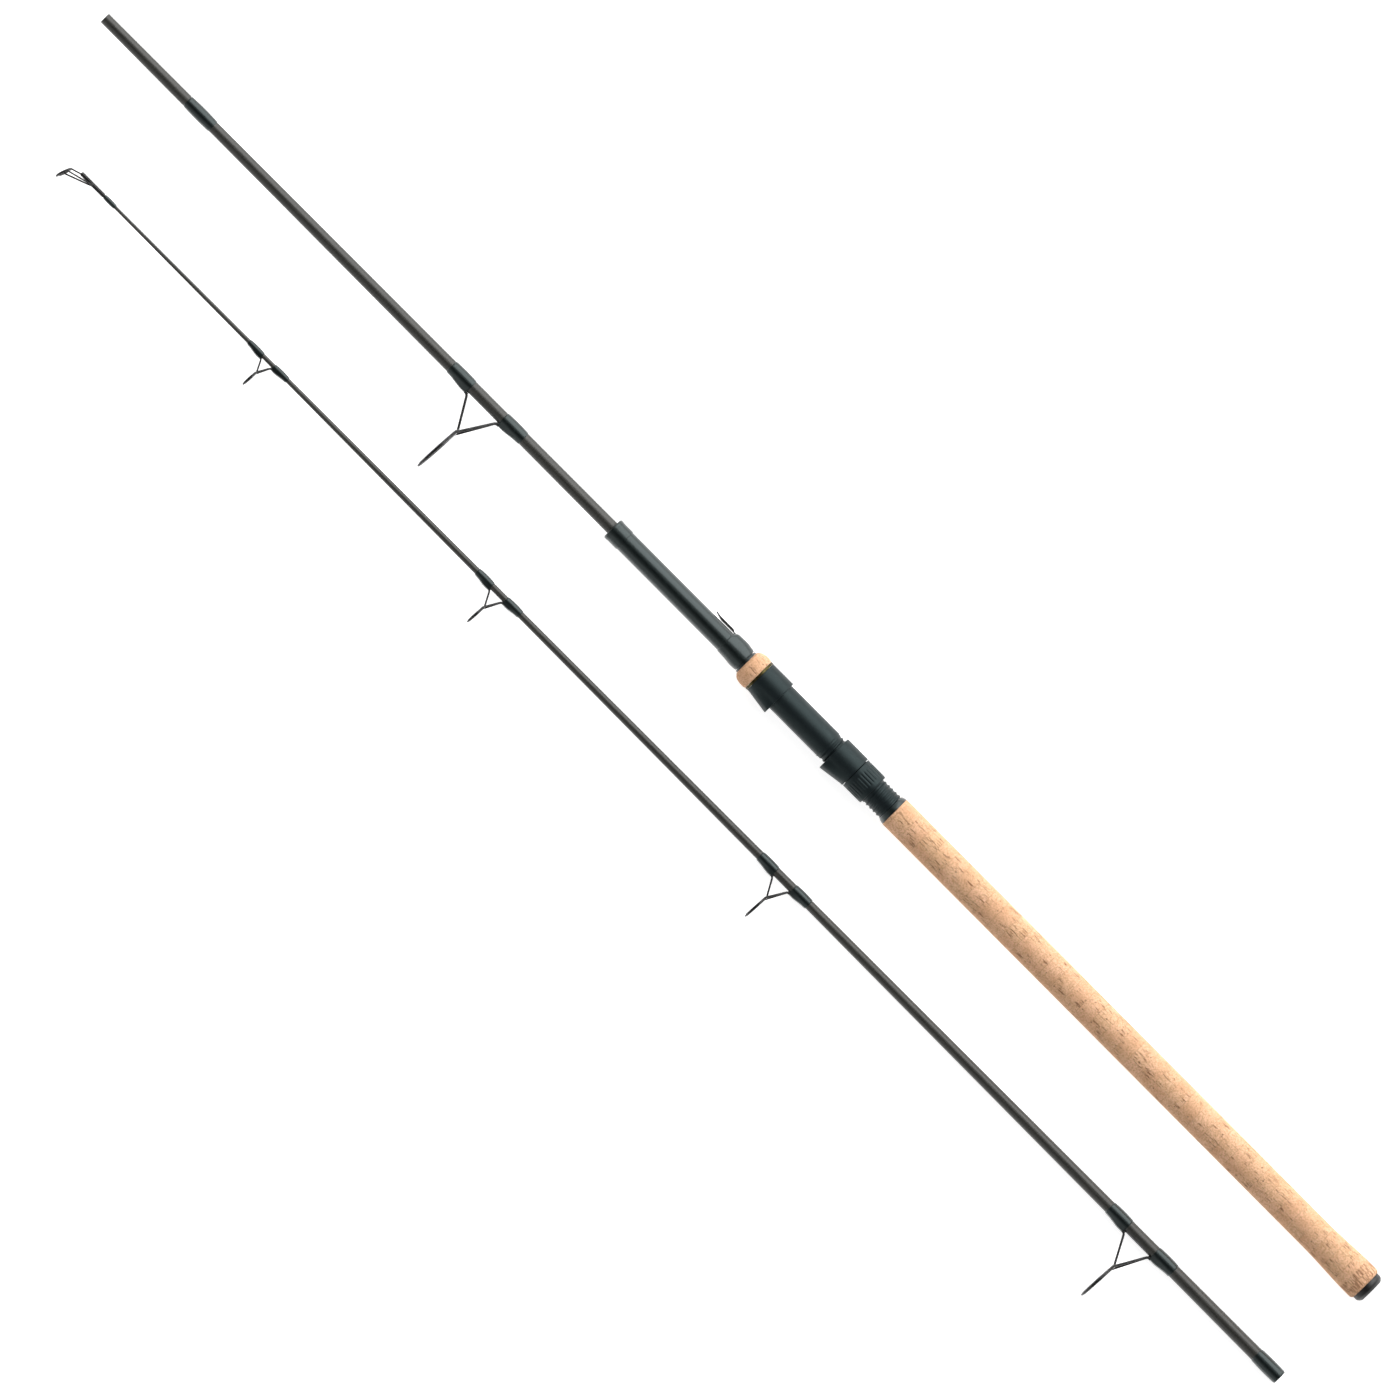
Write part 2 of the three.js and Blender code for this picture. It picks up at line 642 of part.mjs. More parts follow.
function addHandle(group) {
  const arborBore = TUBE_RADIUS + WRAP_GAP;
  const arborRadius = SEAT_BORE - WRAP_GAP;
  const arborLength = 24;
  const clipFoot = { thickness: CLIP_SHEET + GAP, width: CLIP_WIDTH + 0.4 };
  const tubeRadius = () => TUBE_RADIUS;
  const clipWrapRear = FORE_GRIP_FRONT + 1.6;
  addPiece(group, 'butt_cap', buttCap(), RUBBER);
  addPiece(group, 'rear_cork_grip', rearGrip(), CORK);
  addPiece(group, 'rear_winding_check', rearWindingCheck(), GLOSS_BLACK);
  addPiece(group, 'reel_seat_body', reelSeatBody(), SEAT_BLACK);
  addPiece(group, 'lock_nut', lockNut(), SEAT_BLACK);
  addPiece(group, 'moving_hood', hood(HOOD_REAR + HOOD_LENGTH, HOOD_REAR), SEAT_BLACK);
  addPiece(group, 'fixed_hood', hood(SEAT_FRONT - GAP - HOOD_LENGTH, SEAT_FRONT - GAP), SEAT_BLACK);
  [['seat_arbor_rear', SEAT_REAR + 6], ['seat_arbor_front', SEAT_FRONT - 6 - arborLength]].forEach(
    ([name, rear]) => addPiece(group, name, sleeve(rear, rear + arborLength, arborBore, arborRadius), ARBOR_TAN),
  );
  addPiece(group, 'trim_ring', sleeve(SEAT_FRONT + GAP, FORE_GRIP_REAR, TUBE_SEAT, HOOD_RADIUS + 0.2), BRONZE);
  addPiece(group, 'fore_cork_grip', foreGrip(), CORK);
  addPiece(group, 'fore_winding_check', foreWindingCheck(), GLOSS_BLACK);
  const wrapShape = { sides: CLIP_WRAP_SIDES, fall: 0.4 };
  const clipWrap = footWrap(tubeRadius, CLIP_WRAP_FRONT, clipWrapRear, clipFoot, wrapShape);
  addPiece(group, 'clip_wrap', clipWrap.rotateX(Math.PI), GLOSS_BLACK);
  addPiece(group, 'line_clip', lineClip(), GUNMETAL);
  addPiece(group, 'handle_tube', sleeve(CAP_FRONT + 2, TUBE_FRONT, TUBE_BORE, TUBE_RADIUS), GLOSS_BLACK);
  addPiece(group, 'front_collar', frontCollar(), GLOSS_BLACK);
  addPiece(group, 'collar_bushing', collarBushing(), NYLON);
}

function addButtBlank(group) {
  const wrapRear = SPIGOT_REAR - SPIGOT_WRAP_LENGTH;
  addPiece(group, 'butt_blank', buttBlank(), CARBON);
  addPiece(group, 'blank_stop_sleeve', blankStopSleeve(), NYLON);
  addPiece(group, 'spigot_wrap', plainWrap(buttBlankRadius, wrapRear, SPIGOT_REAR - GAP), GLOSS_BLACK);
  addGuide(group, BUTT_GUIDE, buttBlankRadius);
}

function addTipSection(group) {
  addPiece(group, 'tip_blank', tipBlank(), CARBON);
  addPiece(group, 'ferrule_wrap', plainWrap(tipBlankRadius, 0, FERRULE_WRAP_LENGTH), GLOSS_BLACK);
  TIP_GUIDES.forEach((guide) => addGuide(group, guide, tipBlankRadius));
  addPiece(group, 'tip_top_frame', tipTopFrame(), GUNMETAL);
  addPiece(group, 'tip_top_ring', ringInsert(TIP_TOP, TIP_TOP.lean, TIP_WIRE_RADIUS), CERAMIC);
  const tipWrap = plainWrap(() => TIP_END_RADIUS, TIP_WRAP_REAR, TIP_TUBE_REAR - GAP);
  addPiece(group, 'tip_top_wrap', tipWrap, GLOSS_BLACK);
}

// The half lies on a round piece of the given radius and on its largest guide ring
function layOnFloor(group, restRadius, { diameter, height }) {
  group.position.z = restRadius;
  group.rotation.x = Math.asin((diameter / 2 - restRadius) / height);
}

function spinningRod() {
  const buttHalf = new THREE.Group();
  addHandle(buttHalf);
  addButtBlank(buttHalf);
  layOnFloor(buttHalf, REST_RADIUS, BUTT_GUIDE);

  const tipHalf = new THREE.Group();
  addTipSection(tipHalf);
  layOnFloor(tipHalf, FERRULE_RADIUS + WRAP_GAP + WRAP_WALL, TIP_GUIDES[0]);
  tipHalf.position.x = TIP_SETBACK;
  tipHalf.position.y = SECTION_SPACING;

  const rod = new THREE.Group();
  rod.add(buttHalf, tipHalf);
  const box = new THREE.Box3().setFromObject(rod, true);
  const middle = box.getCenter(new THREE.Vector3());
  rod.position.set(-middle.x, -middle.y, -box.min.z);
  return rod;
}

export default spinningRod();
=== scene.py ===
"""Looks of the spinning rod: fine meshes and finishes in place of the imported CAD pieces.

Pieces are built in millimetres in the frame of their own half of the rod, where +X runs along the half
and the guides stand towards +Y, and are placed in the row frame in metres.
"""

import json
import math

import bmesh
import bpy
import numpy as np
from mathutils import Matrix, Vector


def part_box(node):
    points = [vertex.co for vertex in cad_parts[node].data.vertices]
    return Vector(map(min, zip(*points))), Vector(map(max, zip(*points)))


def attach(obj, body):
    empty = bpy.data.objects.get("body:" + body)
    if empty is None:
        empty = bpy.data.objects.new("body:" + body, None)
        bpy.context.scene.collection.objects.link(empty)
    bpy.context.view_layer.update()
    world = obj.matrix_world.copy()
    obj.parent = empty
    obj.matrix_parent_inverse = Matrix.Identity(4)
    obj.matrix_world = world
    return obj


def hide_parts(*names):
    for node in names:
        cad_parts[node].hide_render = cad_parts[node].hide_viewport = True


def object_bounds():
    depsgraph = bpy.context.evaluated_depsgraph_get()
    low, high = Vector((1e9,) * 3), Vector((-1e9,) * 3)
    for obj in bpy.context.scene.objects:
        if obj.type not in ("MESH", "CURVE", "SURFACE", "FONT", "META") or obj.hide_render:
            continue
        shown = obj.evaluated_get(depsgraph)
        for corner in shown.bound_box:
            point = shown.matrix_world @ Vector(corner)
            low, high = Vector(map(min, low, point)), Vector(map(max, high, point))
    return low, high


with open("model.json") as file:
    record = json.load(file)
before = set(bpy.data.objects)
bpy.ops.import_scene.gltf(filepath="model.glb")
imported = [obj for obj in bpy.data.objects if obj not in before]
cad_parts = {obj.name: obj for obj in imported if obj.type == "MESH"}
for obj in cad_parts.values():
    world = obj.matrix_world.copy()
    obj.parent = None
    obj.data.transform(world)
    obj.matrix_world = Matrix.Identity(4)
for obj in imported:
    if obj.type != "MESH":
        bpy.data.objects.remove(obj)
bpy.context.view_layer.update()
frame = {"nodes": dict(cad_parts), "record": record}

MM = 0.001
RECORD = frame["record"]
BODY_OF = {node: body for body, nodes in RECORD["behaviour"]["bodies"].items() for node in nodes}
SLOT_OF = {part["node"]: part["material_slot"] for part in RECORD["subparts"]}

# Sizes in millimetres that the CAD model's boxes don't give
CORK_RING = 12.7
THREAD_PITCH = 3.4
THREAD_DEPTH = 0.7
HOOD_RISE = 2.7
LAND_ANGLE = 2 * math.pi / 20
WRAP_WALL = 0.4  # at the ends of a wrap
WRAP_CROWN = 0.35  # more varnish over its middle
WRAP_GAP = 0.25
GUIDE_LEAN = math.radians(3)
TWIN_LEG_ANGLE = math.radians(35)
TIP_LEAN = math.radians(20)
TIP_STRUT_ANGLE = math.radians(80)
TIP_WIRE_RADIUS = 0.6
CLIP_SHEET = 0.7
CLIP_WIDTH = 3.2
THREAD_FRONT = 551.7  # station on the butt half where the thread runs out
HOOD_RADIUS = 13.2
FLARE_LENGTH = 50  # of the rear grip's wider end
FOOT_TAPER = 0.7  # share of a wrap over which the foot under it thins
BUTT_BORE = 3.3
FERRULE_DEPTH = 88
FERRULE_BORE = (4.63, 4.38)  # at the mouth and at the bottom
TIP_CORE = ((148, 3.3), (1080, 0.4))  # station and radius of the tip blank's hollow, at its two ends

ROUND_SIDES = 72
WIRE_SIDES = 14
RING_SIDES = 96
EASE_STEPS = 5
SHARP_ANGLE = math.radians(32)

PLACE = "place"  # the mesh attribute that holds each corner's place in its half, in metres
FINISHES = {}


# ---------------------------------------------------------------------------------------------
# Frames of the two halves
# ---------------------------------------------------------------------------------------------

class Half:
    """One half of the rod: its axis is local X and its guides stand towards local +Y."""

    def __init__(self, rear_node, axis_node, ring_node):
        axis = sum(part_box(axis_node), start=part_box(axis_node)[0] * 0) / 2
        ring = sum(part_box(ring_node), start=axis * 0) / 2
        roll = math.atan2(ring.z - axis.z, ring.y - axis.y)
        origin = Matrix.Translation((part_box(rear_node)[0].x, axis.y, axis.z))
        self.to_row = origin @ Matrix.Rotation(roll, 4, "X")

    def points(self, node):
        """The node's corners in this half's frame, in millimetres."""
        to_half = self.to_row.inverted()
        return np.array([to_half @ v.co for v in frame["nodes"][node].data.vertices]) / MM

    def span(self, node):
        """The node's lowest and highest station along the half."""
        x = self.points(node)[:, 0]
        return x.min(), x.max()

    def reach(self, node, station=None):
        """The node's largest radius about the axis, everywhere or close to a station."""
        points = self.points(node)
        if station is not None:
            points = points[np.abs(points[:, 0] - station) < 0.6]
        return np.hypot(points[:, 1], points[:, 2]).max()


BUTT = Half("butt_cap", "butt_blank", "butt_guide_ring")
TIP = Half("ferrule_wrap", "ferrule_wrap", "guide_4_ring")


# ---------------------------------------------------------------------------------------------
# Mesh building, in millimetres
# ---------------------------------------------------------------------------------------------

def unit(vector):
    return vector / max(np.linalg.norm(vector), 1e-9)


def eased(rows, is_loop=True):
    """Points of a line given as (*point, ease) rows, with each corner rounded over its ease."""
    corners = [np.array(row[:-1], float) for row in rows]
    line = []
    for i, row in enumerate(rows):
        is_end = not is_loop and i in (0, len(rows) - 1)
        if row[-1] <= 0 or is_end:
            line.append(corners[i])
            continue
        start = corners[i] + unit(corners[i - 1] - corners[i]) * row[-1]
        end = corners[i] + unit(corners[(i + 1) % len(rows)] - corners[i]) * row[-1]
        for t in np.linspace(0, 1, EASE_STEPS + 1):
            line.append((1 - t) ** 2 * start + 2 * t * (1 - t) * corners[i] + t * t * end)
    return np.array(line)


def grid_faces(rows, columns, is_loop):
    """Quads between the rows of a grid whose columns close on themselves."""
    faces = []
    for row in range(rows if is_loop else rows - 1):
        after = (row + 1) % rows
        for column in range(columns):
            beside = (column + 1) % columns
            faces.append((
                row * columns + column,
                row * columns + beside,
                after * columns + beside,
                after * columns + column,
            ))
    return faces


def lathe(profile, sides=ROUND_SIDES, radius_at=None):
    """A profile of (x, radius) points turned round X: a ring, or a solid if its ends are on the axis."""
    profile = np.array(profile, float)
    is_solid = profile[0, 1] <= 0
    ends = profile[[0, -1]]
    rows = profile[1:-1] if is_solid else profile
    x = np.repeat(rows[:, 0], sides)
    radius = np.repeat(rows[:, 1], sides)
    angle = np.tile(np.linspace(-math.pi, math.pi, sides, endpoint=False), len(rows))
    if radius_at is not None:
        radius = radius_at(x, angle, radius)
    points = np.stack([x, radius * np.cos(angle), radius * np.sin(angle)], axis=1)
    faces = grid_faces(len(rows), sides, not is_solid)
    if is_solid:
        first, last = len(points), len(points) + 1
        points = np.vstack([points, [ends[0, 0], 0, 0], [ends[1, 0], 0, 0]])
        top = (len(rows) - 1) * sides
        for column in range(sides):
            beside = (column + 1) % sides
            faces.append((first, beside, column))
            faces.append((last, top + column, top + beside))
    return points, faces


def sweep(path, section, scales=None):
    """A closed section of (side, up) points carried along a path, with local up kept nearest to Z."""
    path = np.array(path, float)
    section = np.array(section, float)
    tangents = np.gradient(path, axis=0)
    scales = np.ones(len(path)) if scales is None else scales
    points = []
    for point, tangent, scale in zip(path, tangents, scales):
        side = unit(np.cross(tangent, (0, 0, 1)))
        up = unit(np.cross(side, tangent))
        points.extend(point + scale * (across * side + along * up) for across, along in section)
    count = len(section)
    faces = grid_faces(len(path), count, False)
    faces.append(tuple(range(count)))
    faces.append(tuple(range((len(path) - 1) * count, len(path) * count)))
    return np.array(points), faces


def circle(radius, sides=WIRE_SIDES):
    angles = np.linspace(0, 2 * math.pi, sides, endpoint=False)
    return np.stack([radius * np.cos(angles), radius * np.sin(angles)], axis=1)


def bar_section(thickness, width):
    """A flat bar's section with rounded edges."""
    x, y = thickness / 2, width / 2
    ease = 0.4 * min(thickness, width)
    return eased([(-x, -y, ease), (x, -y, ease), (x, y, ease), (-x, y, ease)])


def smooth(value, low, high):
    t = np.clip((value - low) / (high - low), 0, 1)
    return t * t * (3 - 2 * t)


def hump(angle, flat, fade):
    """1 on the +Y side, falling smoothly to 0 between two angles from it."""
    return 1 - smooth(np.abs(angle), flat, fade)


def to_mesh(name, points, faces):
    """A mesh in metres, with its faces outward."""
    mesh = bpy.data.meshes.new(name)
    mesh.from_pydata((np.array(points) * MM).tolist(), [], faces)
    edit = bmesh.new()
    edit.from_mesh(mesh)
    bmesh.ops.recalc_face_normals(edit, faces=edit.faces)
    edit.to_mesh(mesh)
    edit.free()
    return mesh


def welded(name, parts):
    """One closed mesh out of several overlapping closed ones."""
    objects = []
    for part in parts:
        made = bpy.data.objects.new(name, to_mesh(name, *part))
        bpy.context.scene.collection.objects.link(made)
        objects.append(made)
    whole = objects[0]
    for other in objects[1:]:
        union = whole.modifiers.new("weld", "BOOLEAN")
        union.operation = "UNION"
        union.solver = "EXACT"
        union.object = other
    evaluated = whole.evaluated_get(bpy.context.evaluated_depsgraph_get())
    mesh = bpy.data.meshes.new_from_object(evaluated)
    for made in objects:
        bpy.data.objects.remove(made)
    return mesh


def show(node, half, mesh):
    """Shows a mesh in place of a CAD node, on that node's body and in its material slot."""
    mesh.polygons.foreach_set("use_smooth", [True] * len(mesh.polygons))
    mesh.set_sharp_from_angle(angle=SHARP_ANGLE)
    mesh.materials.clear()
    mesh.materials.append(FINISHES[SLOT_OF[node]])
    place = mesh.attributes.new(PLACE, "FLOAT_VECTOR", "POINT")
    place.data.foreach_set("vector", [c for vertex in mesh.vertices for c in vertex.co])
    mesh.transform(half.to_row)
    made = bpy.data.objects.new("fine_" + node, mesh)
    bpy.context.scene.collection.objects.link(made)
    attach(made, BODY_OF[node])
    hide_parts(node)


def show_turned(node, half, rows, sides=ROUND_SIDES, radius_at=None):
    """Shows a turned piece, given by its (x, radius, ease) corners."""
    profile = eased(rows, is_loop=rows[0][1] > 0)
    show(node, half, to_mesh(node, *lathe(profile, sides, radius_at)))


# ---------------------------------------------------------------------------------------------
# Node trees
# ---------------------------------------------------------------------------------------------

def add(tree, kind, inputs=None, **settings):
    """A shader node, with its inputs set to values or linked to other nodes' outputs."""
    made = tree.nodes.new("ShaderNode" + kind)
    for key, value in settings.items():
        setattr(made, key, value)
    for key, value in (inputs or {}).items():
        if isinstance(value, bpy.types.Node):
            value = value.outputs[0]
        if isinstance(value, bpy.types.NodeSocket):
            tree.links.new(value, made.inputs[key])
        else:
            made.inputs[key].default_value = value
    return made


def maths(tree, operation, first, second=0.0, third=0.5):
    return add(tree, "Math", {0: first, 1: second, 2: third}, operation=operation)


def blend(tree, share, first, second):
    """The colour output of a mix of two colours."""
    mix = add(tree, "Mix", {0: share, 6: first, 7: second}, data_type="RGBA")
    return mix.outputs[2]


def ramp(tree, value, low, high):
    """0 below low, 1 above high, smooth between."""
    return add(tree, "MapRange", {0: value, 1: low, 2: high}, interpolation_type="SMOOTHSTEP")


def grey(value):
    return (value, value, value, 1)


def new_finish(slot, **sockets):
    """A material for a slot: its tree, its shader with the given constant sockets, and its coordinates."""
    made = bpy.data.materials.new(slot + "_finish")
    made.use_nodes = True
    FINISHES[slot] = made
    tree = made.node_tree
    shader = tree.nodes["Principled BSDF"]
    for name, value in sockets.items():
        shader.inputs[name.replace("_", " ")].default_value = value
    place = add(tree, "Attribute", attribute_name=PLACE).outputs["Vector"]
    return tree, shader, place


def object_place(tree):
    """Coordinates for a mesh that has no place attribute."""
    return add(tree, "TexCoord").outputs["Object"]


def stretched(tree, place, x, y, z):
    return add(tree, "VectorMath", {0: place, 1: (x, y, z)}, operation="MULTIPLY")


def noise(tree, place, scale, detail=2.0, roughness=0.5):
    made = {"Vector": place, "Scale": scale, "Detail": detail, "Roughness": roughness}
    return add(tree, "TexNoise", made).outputs[0]


def bumped(tree, shader, height, distance, strength=1.0):
    """Bumps the shader by a height field, given its full height in metres."""
    made = add(tree, "Bump", {"Height": height, "Distance": distance, "Strength": strength})
    tree.links.new(made.outputs[0], shader.inputs["Normal"])


def paint(tree, shader, colour):
    tree.links.new(colour, shader.inputs["Base Color"])


def roughen(tree, shader, value, low, high):
    made = add(tree, "MapRange", {0: value, 3: low, 4: high})
    tree.links.new(made.outputs[0], shader.inputs["Roughness"])


# ---------------------------------------------------------------------------------------------
# Finishes
# ---------------------------------------------------------------------------------------------

def around(tree, place):
    """The station along the half and the angle about its axis, as node outputs."""
    parts = add(tree, "SeparateXYZ", {0: place})
    return parts.outputs[0], maths(tree, "ARCTAN2", parts.outputs[2], parts.outputs[1])


def cork():
    """Glued and sanded cork rings: each has its own grain, slits in patches, pits and a tight seam."""
    tree, shader, place = new_finish("cork")
    shader.inputs["Specular IOR Level"].default_value = 0.25
    station, angle = around(tree, place)
    along = maths(tree, "DIVIDE", station, CORK_RING * MM)
    ring = maths(tree, "FLOOR", along)
    ring_seed = add(tree, "TexWhiteNoise", {"W": ring}, noise_dimensions="1D")
    sector = maths(tree, "FLOOR", maths(tree, "MULTIPLY_ADD", angle, 1.4))
    patch = add(tree, "CombineXYZ", {0: ring, 1: sector})
    patch_seed = add(tree, "TexWhiteNoise", {"Vector": patch}, noise_dimensions="3D")
    own = add(tree, "VectorMath", {0: place, 1: ring_seed.outputs["Color"]}, operation="ADD")

    slits = noise(tree, stretched(tree, own, 110, 900, 900), 1.0, 3.0, 0.6)
    clusters = ramp(tree, noise(tree, own, 95, 2.0), 0.47, 0.62)
    at_butt = maths(tree, "LESS_THAN", station, 1.45 * CORK_RING * MM)
    dense = maths(tree, "MAXIMUM", ramp(tree, patch_seed, 0.5, 1.0), maths(tree, "MULTIPLY", at_butt, 0.8))
    slits = maths(tree, "MULTIPLY_ADD", at_butt, 0.07, slits)
    slit_mask = ramp(tree, slits, 0.54, 0.63)
    slit_mask = maths(tree, "MULTIPLY", slit_mask, maths(tree, "MAXIMUM", clusters, dense))
    cells = {"Vector": own, "Scale": 330, "Randomness": 1.0}
    cell = add(tree, "TexVoronoi", cells)
    chosen = maths(tree, "GREATER_THAN", add(tree, "SeparateXYZ", {0: cell.outputs["Color"]}), 0.93)
    pit_mask = maths(tree, "MULTIPLY", maths(tree, "LESS_THAN", cell.outputs[0], 0.2), chosen)
    edge = maths(tree, "ABSOLUTE", maths(tree, "SUBTRACT", maths(tree, "FRACT", along), 0.5))
    seam_mask = maths(tree, "MULTIPLY", ramp(tree, edge, 0.48, 0.495), noise(tree, place, 260))

    grain = noise(tree, own, 900, 4.0, 0.65)
    cloud = noise(tree, own, 60, 3.0)
    colour = blend(tree, ramp(tree, cloud, 0.3, 0.7), (0.78, 0.45, 0.27, 1), (0.9, 0.56, 0.36, 1))
    colour = blend(tree, ramp(tree, patch_seed, 0.0, 2.2), colour, (0.82, 0.56, 0.32, 1))
    colour = blend(tree, ramp(tree, grain, 0.62, 0.3), colour, (0.56, 0.3, 0.15, 1))
    colour = blend(tree, maths(tree, "MULTIPLY", slit_mask, 0.8), colour, (0.24, 0.1, 0.045, 1))
    colour = blend(tree, maths(tree, "MULTIPLY", pit_mask, 0.7), colour, (0.16, 0.07, 0.035, 1))
    colour = blend(tree, maths(tree, "MULTIPLY", seam_mask, 0.9), colour, (0.36, 0.18, 0.09, 1))
    paint(tree, shader, colour)
    roughen(tree, shader, grain, 0.62, 0.9)
    hollows = maths(tree, "MAXIMUM", slit_mask, pit_mask)
    height = maths(tree, "SUBTRACT", maths(tree, "MULTIPLY", grain, 0.35), hollows)
    bumped(tree, shader, height, 0.00022, 0.8)


def rubber():
    """Moulded black rubber with a fine tooth and scuffed high spots."""
    tree, shader, place = new_finish("rubber_black")
    tooth = noise(tree, place, 2600, 2.0)
    scuffs = ramp(tree, noise(tree, place, 190, 5.0, 0.7), 0.52, 0.75)
    paint(tree, shader, blend(tree, scuffs, grey(0.005), grey(0.016)))
    roughen(tree, shader, scuffs, 0.38, 0.68)
    bumped(tree, shader, tooth, 0.00004, 0.6)


def helix(tree, place, pitch):
    """A saw wave that climbs one pitch a turn round the axis."""
    station, angle = around(tree, place)
    turns = maths(tree, "DIVIDE", angle, 2 * math.pi)
    return maths(tree, "FRACT", maths(tree, "ADD", maths(tree, "DIVIDE", station, pitch * MM), turns))


def carbon():
    """Satin carbon: lengthwise fibres under the shallow spiral marks of the wrapping tape."""
    tree, shader, place = new_finish("carbon_blank", Metallic=0.1, Coat_Weight=0.2, Coat_Roughness=0.2)
    fibres = noise(tree, stretched(tree, place, 60, 2600, 2600), 1.0, 4.0, 0.7)
    specks = noise(tree, place, 1500, 3.0, 0.7)
    tape = helix(tree, place, 2.4)
    ridge = ramp(tree, maths(tree, "ABSOLUTE", maths(tree, "SUBTRACT", tape, 0.5)), 0.36, 0.5)
    colour = blend(tree, ramp(tree, fibres, 0.3, 0.72), (0.014, 0.014, 0.012, 1), (0.046, 0.045, 0.038, 1))
    colour = blend(tree, ramp(tree, specks, 0.58, 0.8), colour, (0.08, 0.078, 0.067, 1))
    colour = blend(tree, maths(tree, "MULTIPLY", ridge, 0.35), colour, (0.065, 0.064, 0.055, 1))
    paint(tree, shader, colour)
    roughen(tree, shader, fibres, 0.3, 0.48)
    height = maths(tree, "ADD", maths(tree, "MULTIPLY", ridge, 0.5), maths(tree, "MULTIPLY", fibres, 0.4))
    bumped(tree, shader, height, 0.00003, 0.7)


def gloss_wrap():
    """Black thread turns seen through a thick glossy varnish."""
    tree, shader, place = new_finish("gloss_wrap", Coat_Weight=1.0, Coat_Roughness=0.06, Coat_IOR=1.3)
    shader.inputs["Specular Tint"].default_value = (0.6, 0.8, 0.8, 1)
    thread = helix(tree, place, 0.24)
    crown = maths(tree, "SINE", maths(tree, "MULTIPLY", thread, math.pi))
    mottle = noise(tree, place, 420, 3.0)
    # Painted sheen: each thread turn is coloured lighter along its round crown, where light would catch it.
    colour = blend(tree, crown, (0.001, 0.0015, 0.0015, 1), (0.004, 0.006, 0.006, 1))
    colour = blend(tree, ramp(tree, mottle, 0.5, 0.8), colour, (0.006, 0.009, 0.009, 1))
    paint(tree, shader, colour)
    roughen(tree, shader, mottle, 0.28, 0.42)
    bumped(tree, shader, crown, 0.00003, 0.5)


def seat_black():
    """Satin blue-black moulded plastic, slightly polished where the hood and the hand rub it."""
    tree, shader, place = new_finish("seat_black")
    shader.inputs["Specular IOR Level"].default_value = 0.32
    shader.inputs["Specular Tint"].default_value = (0.75, 1, 1, 1)
    stipple = noise(tree, place, 3000, 2.0)
    worn = ramp(tree, noise(tree, stretched(tree, place, 60, 160, 160), 1.0, 4.0, 0.6), 0.45, 0.75)
    colour = blend(tree, worn, (0.005, 0.0075, 0.009, 1), (0.01, 0.014, 0.0155, 1))
    # Painted sheen: the raised stipple points are coloured lighter than the plastic between them.
    paint(tree, shader, blend(tree, ramp(tree, stipple, 0.55, 0.8), colour, (0.016, 0.022, 0.024, 1)))
    roughen(tree, shader, worn, 0.44, 0.33)
    bumped(tree, shader, stipple, 0.00003, 0.6)


def turned_metal(slot, dark, light, low, high):
    """Metal with fine turning lines round it, dulled in places."""
    tree, shader, place = new_finish(slot, Metallic=1.0)
    lines = noise(tree, stretched(tree, place, 9000, 250, 250), 1.0, 2.0)
    dull = noise(tree, place, 240, 4.0, 0.65)
    paint(tree, shader, blend(tree, ramp(tree, dull, 0.35, 0.7), light, dark))
    roughen(tree, shader, dull, low, high)
    bumped(tree, shader, lines, 0.000015, 0.5)


def bronze():
    turned_metal("bronze_trim", (0.03, 0.025, 0.01, 1), (0.085, 0.072, 0.028, 1), 0.3, 0.5)


def gunmetal():
    turned_metal("gunmetal_wire", grey(0.022), grey(0.05), 0.25, 0.45)


def ceramic():
    """Polished black ceramic with a faint cloudiness."""
    tree, shader, place = new_finish("ceramic_black", Coat_Weight=0.6, Coat_Roughness=0.04)
    cloud = noise(tree, place, 700, 3.0)
    paint(tree, shader, blend(tree, ramp(tree, cloud, 0.35, 0.7), grey(0.009), grey(0.02)))
    roughen(tree, shader, cloud, 0.1, 0.24)
    bumped(tree, shader, noise(tree, place, 2200), 0.00001, 0.3)


def arbor_foam():
    """Cut tan foam with open cells."""
    tree, shader, _ = new_finish("arbor_tan")
    place = object_place(tree)
    cells = add(tree, "TexVoronoi", {"Vector": place, "Scale": 1400}).outputs[0]
    # Painted shade: each open cell is coloured darker towards its middle, where its hollow is deepest.
    pore_shaded_tone = blend(tree, ramp(tree, cells, 0.1, 0.6), (0.27, 0.2, 0.12, 1), (0.5, 0.38, 0.24, 1))
    paint(tree, shader, pore_shaded_tone)
    roughen(tree, shader, cells, 0.95, 0.8)
    bumped(tree, shader, cells, 0.0003, 0.8)


def nylon():
    """Dark moulded nylon, slightly streaked by sliding."""
    tree, shader, _ = new_finish("nylon_dark")
    place = object_place(tree)
    streaks = noise(tree, stretched(tree, place, 80, 1400, 1400), 1.0, 3.0)
    paint(tree, shader, blend(tree, ramp(tree, streaks, 0.4, 0.7), grey(0.018), grey(0.034)))
    roughen(tree, shader, streaks, 0.42, 0.6)
    bumped(tree, shader, streaks, 0.00003, 0.5)


def stage_paper():
    """Plain pale backdrop paper, bright enough to read as white."""
    tree, shader, _ = new_finish("stage_paper", Roughness=0.95)
    place = object_place(tree)
    fibre = noise(tree, place, 90, 3.0)
    paint(tree, shader, blend(tree, ramp(tree, fibre, 0.3, 0.7), grey(0.86), grey(0.9)))
    shader.inputs["Emission Color"].default_value = grey(1.0)
    shader.inputs["Emission Strength"].default_value = 0.8
    bumped(tree, shader, fibre, 0.0001, 0.2)


for make_finish in (
    cork, rubber, carbon, gloss_wrap, seat_black, bronze, gunmetal, ceramic, arbor_foam, nylon, stage_paper,
):
    make_finish()


